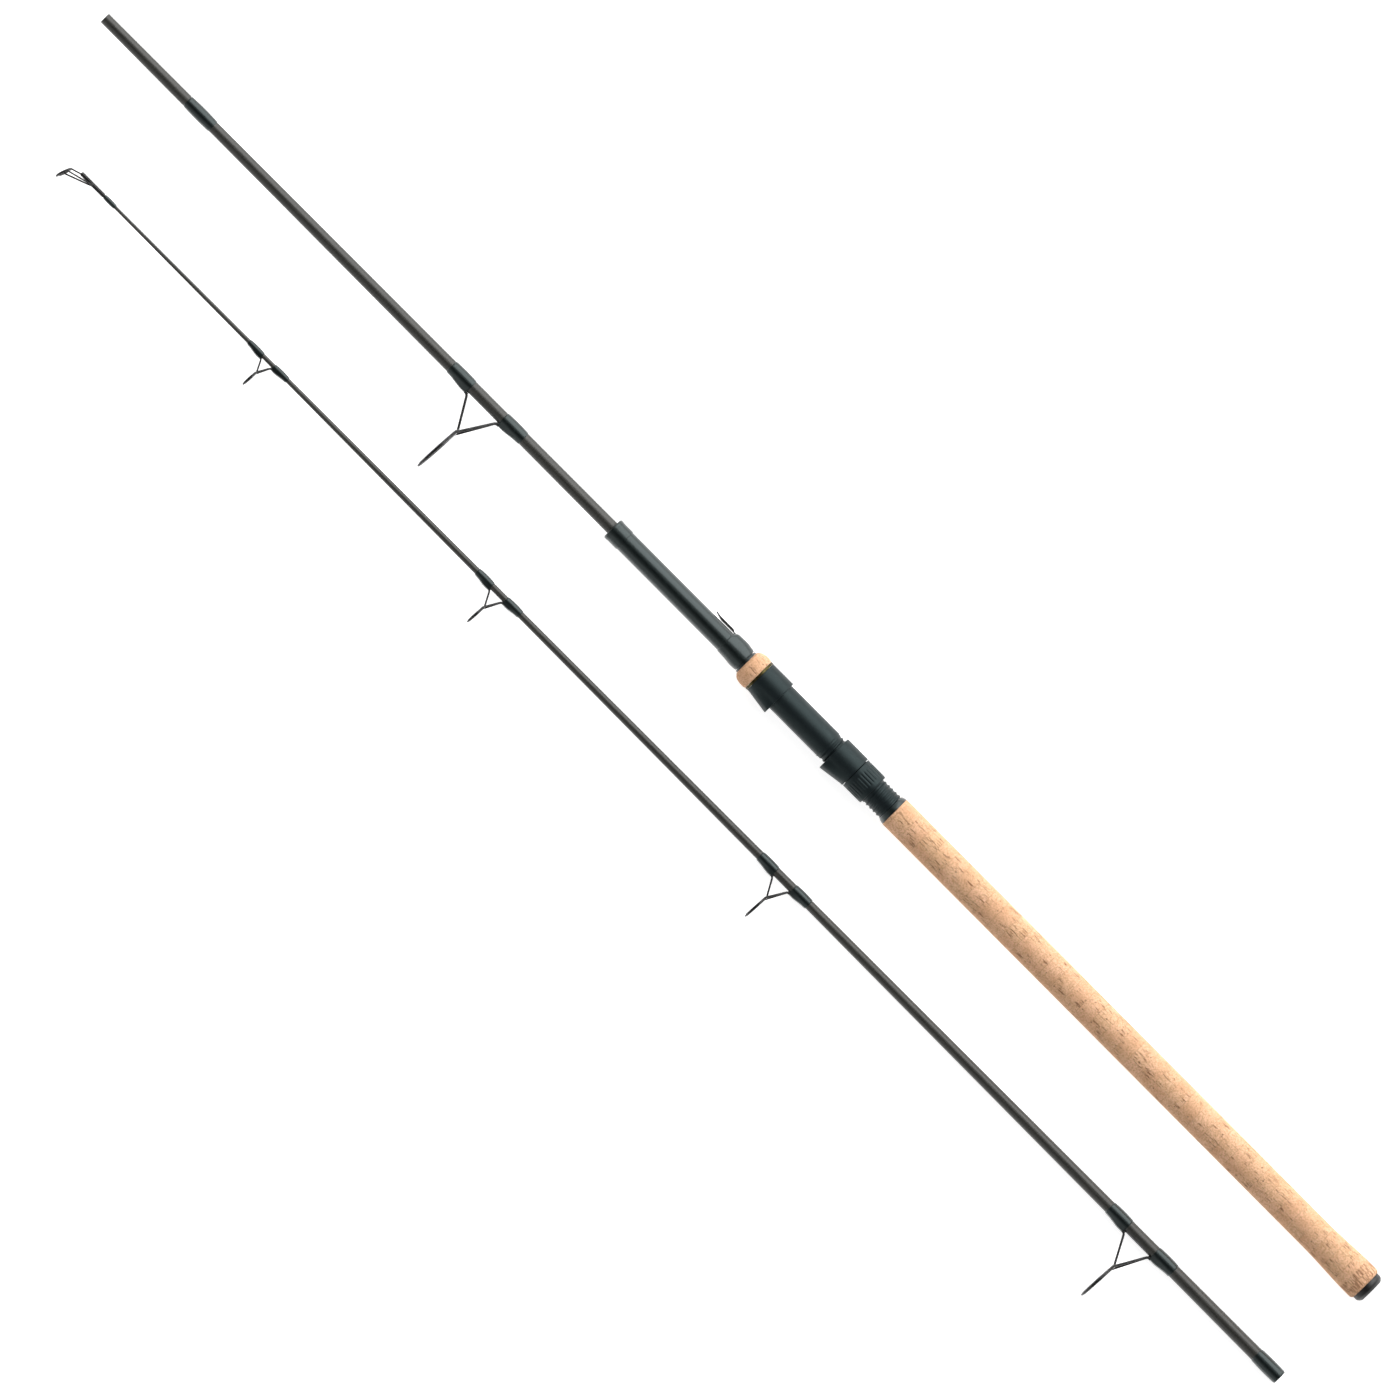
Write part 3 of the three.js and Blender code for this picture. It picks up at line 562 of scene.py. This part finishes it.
# ---------------------------------------------------------------------------------------------
# Handle
# ---------------------------------------------------------------------------------------------

TUBE_RADIUS = BUTT.reach("handle_tube")
SEAT_BED = TUBE_RADIUS + 0.05  # bore of everything that sits on the handle tube


def butt_cap():
    rear, plug_front = BUTT.span("butt_cap")
    front = BUTT.span("rear_cork_grip")[0] - 0.05
    radius = BUTT.reach("butt_cap")
    plug = BUTT.reach("butt_cap", plug_front)
    show_turned("butt_cap", BUTT, [
        (rear, 0, 0),
        (rear, 3.4, 0),
        (rear + 0.5, 3.7, 0.2),
        (rear + 0.5, 4.2, 0.2),
        (rear, 4.5, 0.2),
        (rear, radius - 2.6, 1.2),
        (rear + 2.6, radius, 1.4),
        (front, radius, 0.3),
        (front, plug, 0),
        (plug_front, plug, 0.8),
        (plug_front, 0, 0),
    ])


def rear_grip():
    rear, front = BUTT.span("rear_cork_grip")
    radius = BUTT.reach("rear_cork_grip", front - 0.8)
    flared = BUTT.reach("rear_cork_grip")
    flare = []
    for t in np.linspace(0, 1, 16):
        drop = (flared - radius) * smooth(t, 0, 1)
        flare.append((rear + 7 + t * (FLARE_LENGTH - 7), flared - drop, 0))
    show_turned("rear_cork_grip", BUTT, [
        (rear, SEAT_BED, 0),
        (rear, flared - 1.4, 0.3),
        (rear + 1.6, flared, 1.2),
        *flare,
        (front, radius, 0.5),
        (front, SEAT_BED, 0),
    ])


def rear_check():
    rear, front = BUTT.span("rear_winding_check")
    radius = BUTT.reach("rear_winding_check")
    show_turned("rear_winding_check", BUTT, [
        (rear - 0.25, SEAT_BED, 0),
        (rear - 0.25, radius, 0.2),
        (rear + 1.1, radius - 0.1, 0.4),
        (front + 0.2, radius - 1.1, 0.3),
        (front + 0.2, SEAT_BED, 0),
    ])


def reel_seat():
    """The seat body: a right-hand thread behind, and a narrow flat for the reel foot between the hoods."""
    rear, front = BUTT.span("reel_seat_body")
    bore = SEAT_BED
    crest = BUTT.reach("reel_seat_body", rear)
    radius = BUTT.reach("reel_seat_body", front)
    land_front = front - 21
    land_height = radius * math.cos(LAND_ANGLE)
    steps = int((THREAD_FRONT - rear) / THREAD_PITCH * 14)
    thread = [(x, crest, 0) for x in np.linspace(rear, THREAD_FRONT, steps)]

    def radius_at(x, angle, r):
        turns = (x - rear) / THREAD_PITCH - angle / (2 * math.pi)
        run_out = 1 - smooth(x, THREAD_FRONT - 2.5, THREAD_FRONT)
        groove = THREAD_DEPTH * np.clip(0.62 - 0.85 * np.cos(2 * math.pi * turns), 0, 1) * run_out
        flat = land_height / np.maximum(np.cos(angle), 0.1)
        on_land = (x > THREAD_FRONT + 1.5) & (x < land_front + 0.1)
        shaped = np.where(x < THREAD_FRONT + 0.1, r - groove, np.where(on_land, np.minimum(r, flat), r))
        return np.where(r < crest - 0.1, r, shaped)

    show_turned("reel_seat_body", BUTT, [
        (rear, bore, 0),
        *thread,
        (THREAD_FRONT + 0.5, crest, 0.2),
        (THREAD_FRONT + 1.2, radius, 0.3),
        (THREAD_FRONT + 2, radius, 0),
        (land_front, radius, 0),
        (land_front + 0.4, radius, 0),
        (front, radius, 0.2),
        (front, bore, 0),
    ], radius_at=radius_at)


def hood(node, mouth, back):
    """A sleeve whose +Y side rises towards its mouth, over the pocket that takes the reel foot."""
    bore = BUTT.reach("reel_seat_body") + 0.2
    inward = math.copysign(1, back - mouth)
    length = abs(back - mouth)
    lip = 0.8
    body = [(mouth + inward * s * length, HOOD_RADIUS, 0) for s in np.linspace(0.1, 0.9, 9)]
    pocket = [(mouth + inward * s * length, bore, 0) for s in np.linspace(0.85, 0, 9)]

    def radius_at(x, angle, r):
        depth = np.abs(x - mouth) / (length - 2)
        rise = HOOD_RISE * (1 - np.minimum(depth, 1))
        return r + rise * hump(angle, 0.42, 0.95)

    show_turned(node, BUTT, [
        (mouth, bore, 0.2),
        (mouth, HOOD_RADIUS, lip),
        *body,
        (back, HOOD_RADIUS, 0.3),
        (back, bore, 0.2),
        *pocket,
    ], sides=96, radius_at=radius_at)


def lock_nut():
    """A ring with shallow grip flutes between two plain collars."""
    rear, front = BUTT.span("lock_nut")
    radius = BUTT.reach("lock_nut")
    bore = BUTT.points("lock_nut")
    bore = np.hypot(bore[:, 1], bore[:, 2]).min()
    body = [(x, radius, 0) for x in np.linspace(rear + 3, front - 3, 18)]

    def radius_at(x, angle, r):
        fluted = smooth(x, rear + 2.6, rear + 4.4) * (1 - smooth(x, front - 4.4, front - 2.6))
        wave = np.abs(np.sin(14 * angle)) ** 0.6
        return np.where(r > radius - 0.05, r - 0.4 * fluted * (1 - wave), r)

    show_turned("lock_nut", BUTT, [
        (rear, bore, 0.2),
        (rear, radius - 0.3, 0.7),
        (rear + 1.6, radius, 0.5),
        *body,
        (front + 0.2, radius, 0.4),
        (front + 0.2, bore, 0.2),
    ], sides=168, radius_at=radius_at)


def trim_ring():
    rear, front = BUTT.span("trim_ring")
    radius = BUTT.reach("trim_ring")
    show_turned("trim_ring", BUTT, [
        (rear - 0.55, SEAT_BED, 0),
        (rear - 0.55, radius, 0.15),
        (front + 0.25, radius, 0.25),
        (front + 0.25, SEAT_BED, 0),
    ])


def fore_grip():
    rear, front = BUTT.span("fore_cork_grip")
    radius = BUTT.reach("fore_cork_grip")
    show_turned("fore_cork_grip", BUTT, [
        (rear, SEAT_BED, 0),
        (rear, radius - 0.7, 0.3),
        (rear + 1.4, radius, 0.9),
        (rear + 5.5, radius, 1.5),
        (front - 2.4, radius - 1.1, 1.6),
        (front, radius - 3.8, 0.8),
        (front, SEAT_BED, 0),
    ])


def fore_check():
    rear, front = BUTT.span("fore_winding_check")
    radius = BUTT.reach("fore_winding_check")
    show_turned("fore_winding_check", BUTT, [
        (rear - 0.25, SEAT_BED, 0),
        (rear - 0.25, radius, 0.3),
        (front, radius - 0.5, 0.4),
        (front, SEAT_BED, 0),
    ])


def handle_tube():
    rear, front = BUTT.span("handle_tube")
    points = BUTT.points("handle_tube")
    bore = np.hypot(points[:, 1], points[:, 2]).min()
    show_turned("handle_tube", BUTT, [
        (rear, bore, 0),
        (rear, TUBE_RADIUS, 0.2),
        (front, TUBE_RADIUS, 0.2),
        (front, bore, 0),
    ])


def front_collar():
    rear, front = BUTT.span("front_collar")
    joint = BUTT.span("handle_tube")[1]
    points = BUTT.points("front_collar")
    bore = np.hypot(points[:, 1], points[:, 2]).min()
    inner = BUTT.reach("front_collar", rear)
    lip = BUTT.reach("front_collar")
    show_turned("front_collar", BUTT, [
        (rear, bore, 0),
        (rear, inner, 0.3),
        (joint + 0.05, inner, 0),
        (joint + 0.05, lip - 0.35, 0.2),
        (joint + 1.5, lip - 0.25, 0.6),
        (front - 4.2, lip - 0.3, 1.2),
        (front - 2.4, lip, 0.8),
        (front, lip - 0.2, 1.3),
        (front, bore, 0.6),
    ])


def line_clip():
    """A round-edged blade close over the tube, with a raised tip, on the side away from the guides."""
    rear, front = BUTT.span("line_clip")
    wrap_front = BUTT.span("clip_wrap")[1]
    foot = TUBE_RADIUS + 0.45
    top = foot + 1.85
    outline = eased([
        (rear, foot, 0),
        (front - 6, foot + 0.1, 1.2),
        (front, top + 0.1, 0.2),
        (front, top + 0.8, 0.25),
        (front - 3.6, top, 1.2),
        (wrap_front + 1.4, top, 1.0),
        (wrap_front + 0.4, foot + CLIP_SHEET, 0.5),
        (rear, foot + CLIP_SHEET, 0),
    ])
    middle = outline.mean(axis=0)
    layers = []
    for share in (-1, -0.94, -0.8, 0.8, 0.94, 1):
        inset = 0.22 * smooth(abs(share), 0.8, 1.0)
        shrink = 1 - inset * 0.12
        layer = middle + (outline - middle) * (1 - 0.004 * inset, shrink)
        depth = np.full(len(outline), share * CLIP_WIDTH / 2)
        layers.append(np.column_stack([layer[:, 0], -layer[:, 1], depth]))
    count = len(outline)
    faces = grid_faces(len(layers), count, False)
    faces.append(tuple(range(count)))
    faces.append(tuple(range((len(layers) - 1) * count, len(layers) * count)))
    show("line_clip", BUTT, to_mesh("line_clip", np.vstack(layers), faces))


def kept_nodes():
    """The inner pieces that stay as the CAD made them get their finish."""
    for node in ("seat_arbor_rear", "seat_arbor_front", "collar_bushing", "blank_stop_sleeve"):
        mesh = frame["nodes"][node].data
        mesh.materials.clear()
        mesh.materials.append(FINISHES[SLOT_OF[node]])


# ---------------------------------------------------------------------------------------------
# Wraps
# ---------------------------------------------------------------------------------------------

def taut_radius(angle, blank, foot_height, foot_half_width):
    """Radius of thread pulled tight round a blank and a bar lying on its +Y side."""
    corner = math.atan2(foot_half_width, foot_height)
    touch = corner + math.acos(min(1.0, blank / math.hypot(foot_height, foot_half_width)))
    away = np.abs(angle)
    over_foot = foot_height / np.maximum(np.cos(away), 0.2)
    over_gap = blank / np.maximum(np.cos(touch - away), 0.2)
    return np.where(away < corner, over_foot, np.where(away < touch, over_gap, blank))


def wrap_rows(rear, front):
    """Corners of a varnished wrap with rounded ends, as heights above the surface under it."""
    shoulder = min(1.4, 0.1 * (front - rear))
    top = []
    for share in np.linspace(0, 1, 32):
        x = rear + share * (front - rear)
        end = min(x - rear, front - x) / shoulder
        rounded = math.sqrt(1 - max(0.0, 1 - end) ** 2)
        crown = math.sin(math.pi * share)
        top.append((x, 0.04 + rounded * (WRAP_WALL + WRAP_CROWN * crown), 0))
    bed = [(x, 0.02, 0) for x in np.linspace(front, rear, 16)]
    return [*top, *bed]


def plain_wrap(node, half, blank):
    rear, front = half.span(node)

    def radius_at(x, angle, height):
        return blank(x) + height

    show_turned(node, half, wrap_rows(rear, front), sides=48, radius_at=radius_at)


def foot_wrap(node, half, blank, foot, leg_end, toe_end):
    """A wrap pulled tight over a guide's foot, which enters at leg_end and thins towards its toe."""
    def radius_at(x, angle, height):
        along = np.abs(x - leg_end) / abs(toe_end - leg_end)
        thickness = foot["thickness"] * (1 - smooth(along, 0.25 * FOOT_TAPER, FOOT_TAPER + 0.12))
        base = blank(x)
        top = base + thickness + WRAP_GAP * (1 - smooth(along, 0, FOOT_TAPER))
        tight = [
            taut_radius(a, b, max(t, b), foot["width"] / 2) for a, b, t in zip(angle, base, top)
        ]
        return np.array(tight) + height

    rows = wrap_rows(min(leg_end, toe_end), max(leg_end, toe_end))
    show_turned(node, half, rows, sides=56, radius_at=radius_at)


def clip_wrap():
    """The wrap that holds the line clip: it bulges over the clip's foot and necks in at the cork."""
    rear, front = BUTT.span("clip_wrap")
    points = BUTT.points("clip_wrap")
    radii = np.hypot(points[:, 1], points[:, 2])
    top = radii.max()
    rise = top - TUBE_RADIUS - WRAP_WALL

    def radius_at(x, angle, height):
        along = (front - x) / (front - rear)
        swell = smooth(along, 0.0, 0.16) * (1 - 0.45 * smooth(along, 0.5, 1.0))
        away = math.pi - np.abs(angle)
        side = hump(away, 0.15, 1.1)
        everywhere = 0.7 * smooth(along, 0.35, 0.75)
        return TUBE_RADIUS + height + rise * swell * side + everywhere * (1 - 0.5 * side)

    show_turned("clip_wrap", BUTT, wrap_rows(rear, front), sides=64, radius_at=radius_at)


# ---------------------------------------------------------------------------------------------
# Guides
# ---------------------------------------------------------------------------------------------

def guide_sizes(half, name):
    """A guide's sizes, found from its frame's and its wraps' corners."""
    ring = half.points(name + "_ring")
    frame_points = half.points(name + "_frame")
    centre = (ring.min(axis=0) + ring.max(axis=0)) / 2
    diameter = 2 * frame_points[:, 2].max()
    return {
        "centre": centre,
        "diameter": diameter,
        "wire": 0.45 + 0.0125 * diameter,
        "rear_leg_end": half.span(name + "_rear_wrap")[1],
        "front_leg_end": half.span(name + "_front_wrap")[0],
        "foot": {
            "thickness": 0.7 + 0.008 * diameter,
            "width": 1.6 + 0.04 * diameter,
            "length": 0.66 * (10.5 + 0.26 * diameter),
        },
    }


def leaned(points, centre, lean):
    """Points made round the origin, leaned about Z and moved to a ring's centre."""
    cosine, sine = math.cos(lean), math.sin(lean)
    turn = np.array([[cosine, sine, 0], [-sine, cosine, 0], [0, 0, 1]])
    return np.array(points) @ turn.T + centre


def ring_wire(centre, diameter, wire, lean):
    section = circle(wire) + (0, diameter / 2 - wire)
    points, faces = lathe(section, RING_SIDES)
    return leaned(points, centre, lean), faces


def ring_point(centre, diameter, wire, lean, angle):
    """A point of the ring wire's middle line; angle 0 is nearest to the blank."""
    radius = diameter / 2 - wire
    return leaned([(0, -radius * math.cos(angle), radius * math.sin(angle))], centre, lean)[0]


def ring_insert(node, half, centre, diameter, wire, lean):
    """The polished ceramic ring: rounded within, seated in the wire ring."""
    outer = diameter / 2 - 2 * wire - 0.02
    depth = 0.8 + 0.04 * diameter
    edge = wire + 0.35
    section = eased([
        (-edge, outer, 0.15),
        (edge, outer, 0.15),
        (edge, outer - 0.6 * depth, 0.3 * depth),
        (0.35 * edge, outer - depth, 0.25 * edge),
        (-0.35 * edge, outer - depth, 0.25 * edge),
        (-edge, outer - 0.6 * depth, 0.3 * depth),
    ])
    points, faces = lathe(section, RING_SIDES)
    show(node, half, to_mesh(node, leaned(points, centre, lean), faces))


def leg(ring_end, foot_end, along, wire):
    """A leg that leaves the ring straight and bends to lie along its foot."""
    start = np.array(ring_end)
    knee = np.array(foot_end)
    toe = knee + (along, 0, 0)
    path = eased([(*start, 0), (*knee, 2.2 * wire), (*toe, 0)], is_loop=False)
    return sweep(path, circle(wire))


def guide_foot(blank, leg_end, out, foot, wire):
    """A flat foot that thins towards its toe, on the blank's +Y side."""
    base = blank(leg_end) + WRAP_GAP
    thickness = foot["thickness"]
    start = leg_end - out * 1.6 * wire
    stations = np.linspace(0, 1, 8)
    path = [(start + s * (leg_end + out * foot["length"] - start), base + thickness / 2, 0) for s in stations]
    scales = 1 - 0.55 * smooth(stations, 0.35, 1.0)
    return sweep(path, bar_section(thickness, foot["width"]), scales)


def guide_frame(name, half, blank):
    sizes = guide_sizes(half, name)
    centre, diameter, wire, foot = (sizes[key] for key in ("centre", "diameter", "wire", "foot"))
    parts = [ring_wire(centre, diameter, wire, GUIDE_LEAN)]
    for leg_end, out, angle, side in (
        (sizes["front_leg_end"], 1, 0, 0),
        (sizes["rear_leg_end"], -1, TWIN_LEG_ANGLE, 1),
        (sizes["rear_leg_end"], -1, -TWIN_LEG_ANGLE, -1),
    ):
        beside = side * (foot["width"] / 2 - 0.6 * wire)
        foot_end = (leg_end - out * 1.2 * wire, blank(leg_end) + WRAP_GAP + wire, beside)
        start = ring_point(centre, diameter, wire, GUIDE_LEAN, angle)
        parts.append(leg(start, foot_end, out * 3 * wire, wire))
    parts.append(guide_foot(blank, sizes["front_leg_end"], 1, foot, wire))
    parts.append(guide_foot(blank, sizes["rear_leg_end"], -1, foot, wire))
    show(name + "_frame", half, welded(name, parts))
    ring_insert(name + "_ring", half, centre, diameter, wire, GUIDE_LEAN)
    for node, leg_end, end in (("_rear_wrap", "rear_leg_end", 0), ("_front_wrap", "front_leg_end", 1)):
        toe_end = half.span(name + node)[end]
        foot_wrap(name + node, half, blank, foot, sizes[leg_end], toe_end)


def tip_top():
    """A tube over the end of the blank, a wire to the ring's near side and a strut to each flank."""
    ring = TIP.points("tip_top_ring")
    centre = (ring.min(axis=0) + ring.max(axis=0)) / 2
    corners = TIP.points("tip_top_frame")
    diameter = 2 * corners[:, 2].max()
    rear = TIP.span("tip_top_frame")[0]
    blank_end = TIP.span("tip_blank")[1]
    tube_radius = TIP.reach("tip_top_frame", rear)
    front = blank_end + 3.4
    tube = lathe(eased([
        (rear, 1.36, 0),
        (rear, tube_radius, 0.15),
        (front - 0.6, tube_radius, 0.4),
        (front, 0.7 * tube_radius, 0.3),
        (front, 0.4, 0),
        (blank_end + 0.3, 0.4, 0),
        (blank_end + 0.3, 1.36, 0),
    ]), 40)
    parts = [tube, ring_wire(centre, diameter, TIP_WIRE_RADIUS, TIP_LEAN)]
    for angle, foot in (
        (TIP_STRUT_ANGLE, (front - 12, 0.8, 1.5)),
        (-TIP_STRUT_ANGLE, (front - 12, 0.8, -1.5)),
        (0, (front - 1.2, 0.3, 0)),
    ):
        start = ring_point(centre, diameter, TIP_WIRE_RADIUS, TIP_LEAN, angle)
        path = np.linspace(start, foot, 6)
        parts.append(sweep(path, circle(TIP_WIRE_RADIUS)))
    show("tip_top_frame", TIP, welded("tip_top_frame", parts))
    ring_insert("tip_top_ring", TIP, centre, diameter, TIP_WIRE_RADIUS, TIP_LEAN)
    plain_wrap("tip_top_wrap", TIP, lambda x: np.full_like(x, TIP.reach("tip_blank", blank_end)))


# ---------------------------------------------------------------------------------------------
# Blanks
# ---------------------------------------------------------------------------------------------

SPIGOT_REAR = BUTT.span("spigot_wrap")[1] + 0.3
BUTT_RADII = (BUTT.reach("butt_blank"), BUTT.reach("butt_blank", SPIGOT_REAR - 0.5))
TIP_RADII = (TIP.reach("tip_blank"), TIP.reach("tip_blank", TIP.span("tip_blank")[1]))
TIP_TUBE_REAR = TIP.span("tip_top_frame")[0]


def butt_radius(x):
    rear = BUTT.span("butt_blank")[0]
    return np.interp(x, [rear, SPIGOT_REAR], BUTT_RADII)


def tip_radius(x):
    return np.interp(x, [0, TIP_TUBE_REAR], TIP_RADII)


def butt_blank():
    rear, front = BUTT.span("butt_blank")
    spigot = BUTT.reach("butt_blank", front - 0.5)
    show_turned("butt_blank", BUTT, [
        (rear, BUTT_BORE, 0),
        (rear, BUTT_RADII[0], 0.2),
        (SPIGOT_REAR - 0.3, BUTT_RADII[1], 0),
        (SPIGOT_REAR, BUTT_RADII[1], 0.1),
        (SPIGOT_REAR + 0.4, spigot + 0.25, 0.1),
        (front, spigot, 0.4),
        (front, BUTT_BORE, 0.2),
    ], sides=56)


def tip_blank():
    rear, front = TIP.span("tip_blank")
    (core_rear, rear_bore), (core_front, front_bore) = TIP_CORE
    show_turned("tip_blank", TIP, [
        (core_front, 0, 0),
        (core_front, front_bore, 0),
        (core_rear, rear_bore, 0),
        (FERRULE_DEPTH, FERRULE_BORE[1], 0.3),
        (rear, FERRULE_BORE[0], 0.1),
        (rear, TIP_RADII[0], 0.3),
        (TIP_TUBE_REAR, TIP_RADII[1], 0),
        (front, TIP_RADII[1], 0.2),
        (front, 0, 0),
    ], sides=56)


# ---------------------------------------------------------------------------------------------
# Assembly
# ---------------------------------------------------------------------------------------------

def show_rod():
    butt_cap()
    rear_grip()
    rear_check()
    reel_seat()
    hood("moving_hood", *reversed(BUTT.span("moving_hood")))
    hood("fixed_hood", *BUTT.span("fixed_hood"))
    lock_nut()
    trim_ring()
    fore_grip()
    fore_check()
    handle_tube()
    front_collar()
    clip_wrap()
    line_clip()
    kept_nodes()
    butt_blank()
    plain_wrap("spigot_wrap", BUTT, butt_radius)
    guide_frame("butt_guide", BUTT, butt_radius)
    tip_blank()
    plain_wrap("ferrule_wrap", TIP, tip_radius)
    for number in (4, 3, 2, 1):
        guide_frame(f"guide_{number}", TIP, tip_radius)
    tip_top()


# ---------------------------------------------------------------------------------------------
# Stage, light and camera
# ---------------------------------------------------------------------------------------------

VIEW_WIDTH = 1.005  # metres of the floor that the picture spans
VIEW_CENTRE = (-0.00385, -0.0256)
VIEW_TURN = math.radians(-134.85)
CAMERA_HEIGHT = 20.0
SENSOR = 36.0


def make_floor():
    half, z = 10.0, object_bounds()[0].z
    mesh = bpy.data.meshes.new("floor")
    corners = [(-half, -half, z), (half, -half, z), (half, half, z), (-half, half, z)]
    mesh.from_pydata(corners, [], [(0, 1, 2, 3)])
    mesh.materials.append(FINISHES["stage_paper"])
    floor = bpy.data.objects.new("floor", mesh)
    bpy.context.scene.collection.objects.link(floor)


def make_light(name, tilt, distance, size, watts):
    """A soft box on the YZ arc over the rod; tilt is its angle from straight above, towards +Y."""
    lamp = bpy.data.lights.new(name, "AREA")
    lamp.shape = "RECTANGLE"
    lamp.size, lamp.size_y = size
    lamp.energy = watts
    light = bpy.data.objects.new(name, lamp)
    light.matrix_world = Matrix.Rotation(-tilt, 4, "X") @ Matrix.Translation((0, 0, distance))
    bpy.context.scene.collection.objects.link(light)


def make_world():
    """A dim studio: lighter to the sides, dark straight above."""
    world = bpy.data.worlds.new("studio")
    bpy.context.scene.world = world
    world.use_nodes = True
    tree = world.node_tree
    parts = add(tree, "SeparateXYZ", {0: add(tree, "TexCoord").outputs["Generated"]})
    tilt = maths(tree, "ARCTAN2", parts.outputs[1], parts.outputs[2])
    share = maths(tree, "MULTIPLY_ADD", tilt, 1 / math.pi, 0.5)
    shades = add(tree, "ValToRGB", {0: share})
    stops = shades.color_ramp.elements
    stops[0].position, stops[0].color = 0.0, grey(0.3)
    stops[1].position, stops[1].color = 1.0, grey(0.3)
    for degrees, value in ((-60, 0.5), (-25, 0.4), (-6, 0.12), (3, 0.01), (17, 0.015), (30, 0.13), (65, 0.2)):
        stop = stops.new(0.5 + degrees / 180)
        stop.color = grey(value)
    back = tree.nodes["Background"]
    tree.links.new(shades.outputs[0], back.inputs[0])
    back.inputs[1].default_value = 2.0


def make_camera():
    lens = bpy.data.cameras.new("camera")
    lens.sensor_width = SENSOR
    lens.lens = SENSOR * CAMERA_HEIGHT / VIEW_WIDTH
    lens.clip_end = 100
    camera = bpy.data.objects.new("camera", lens)
    camera.location = (*VIEW_CENTRE, CAMERA_HEIGHT)
    camera.rotation_euler = (0, 0, VIEW_TURN)
    bpy.context.scene.collection.objects.link(camera)
    bpy.context.scene.camera = camera


show_rod()
make_floor()
make_light("key", math.radians(-58), 2.6, (3.4, 2.8), 80)
make_light("fill", math.radians(62), 3.0, (3.4, 1.8), 9)
make_world()
make_camera()
bpy.context.scene.view_settings.view_transform = "Standard"
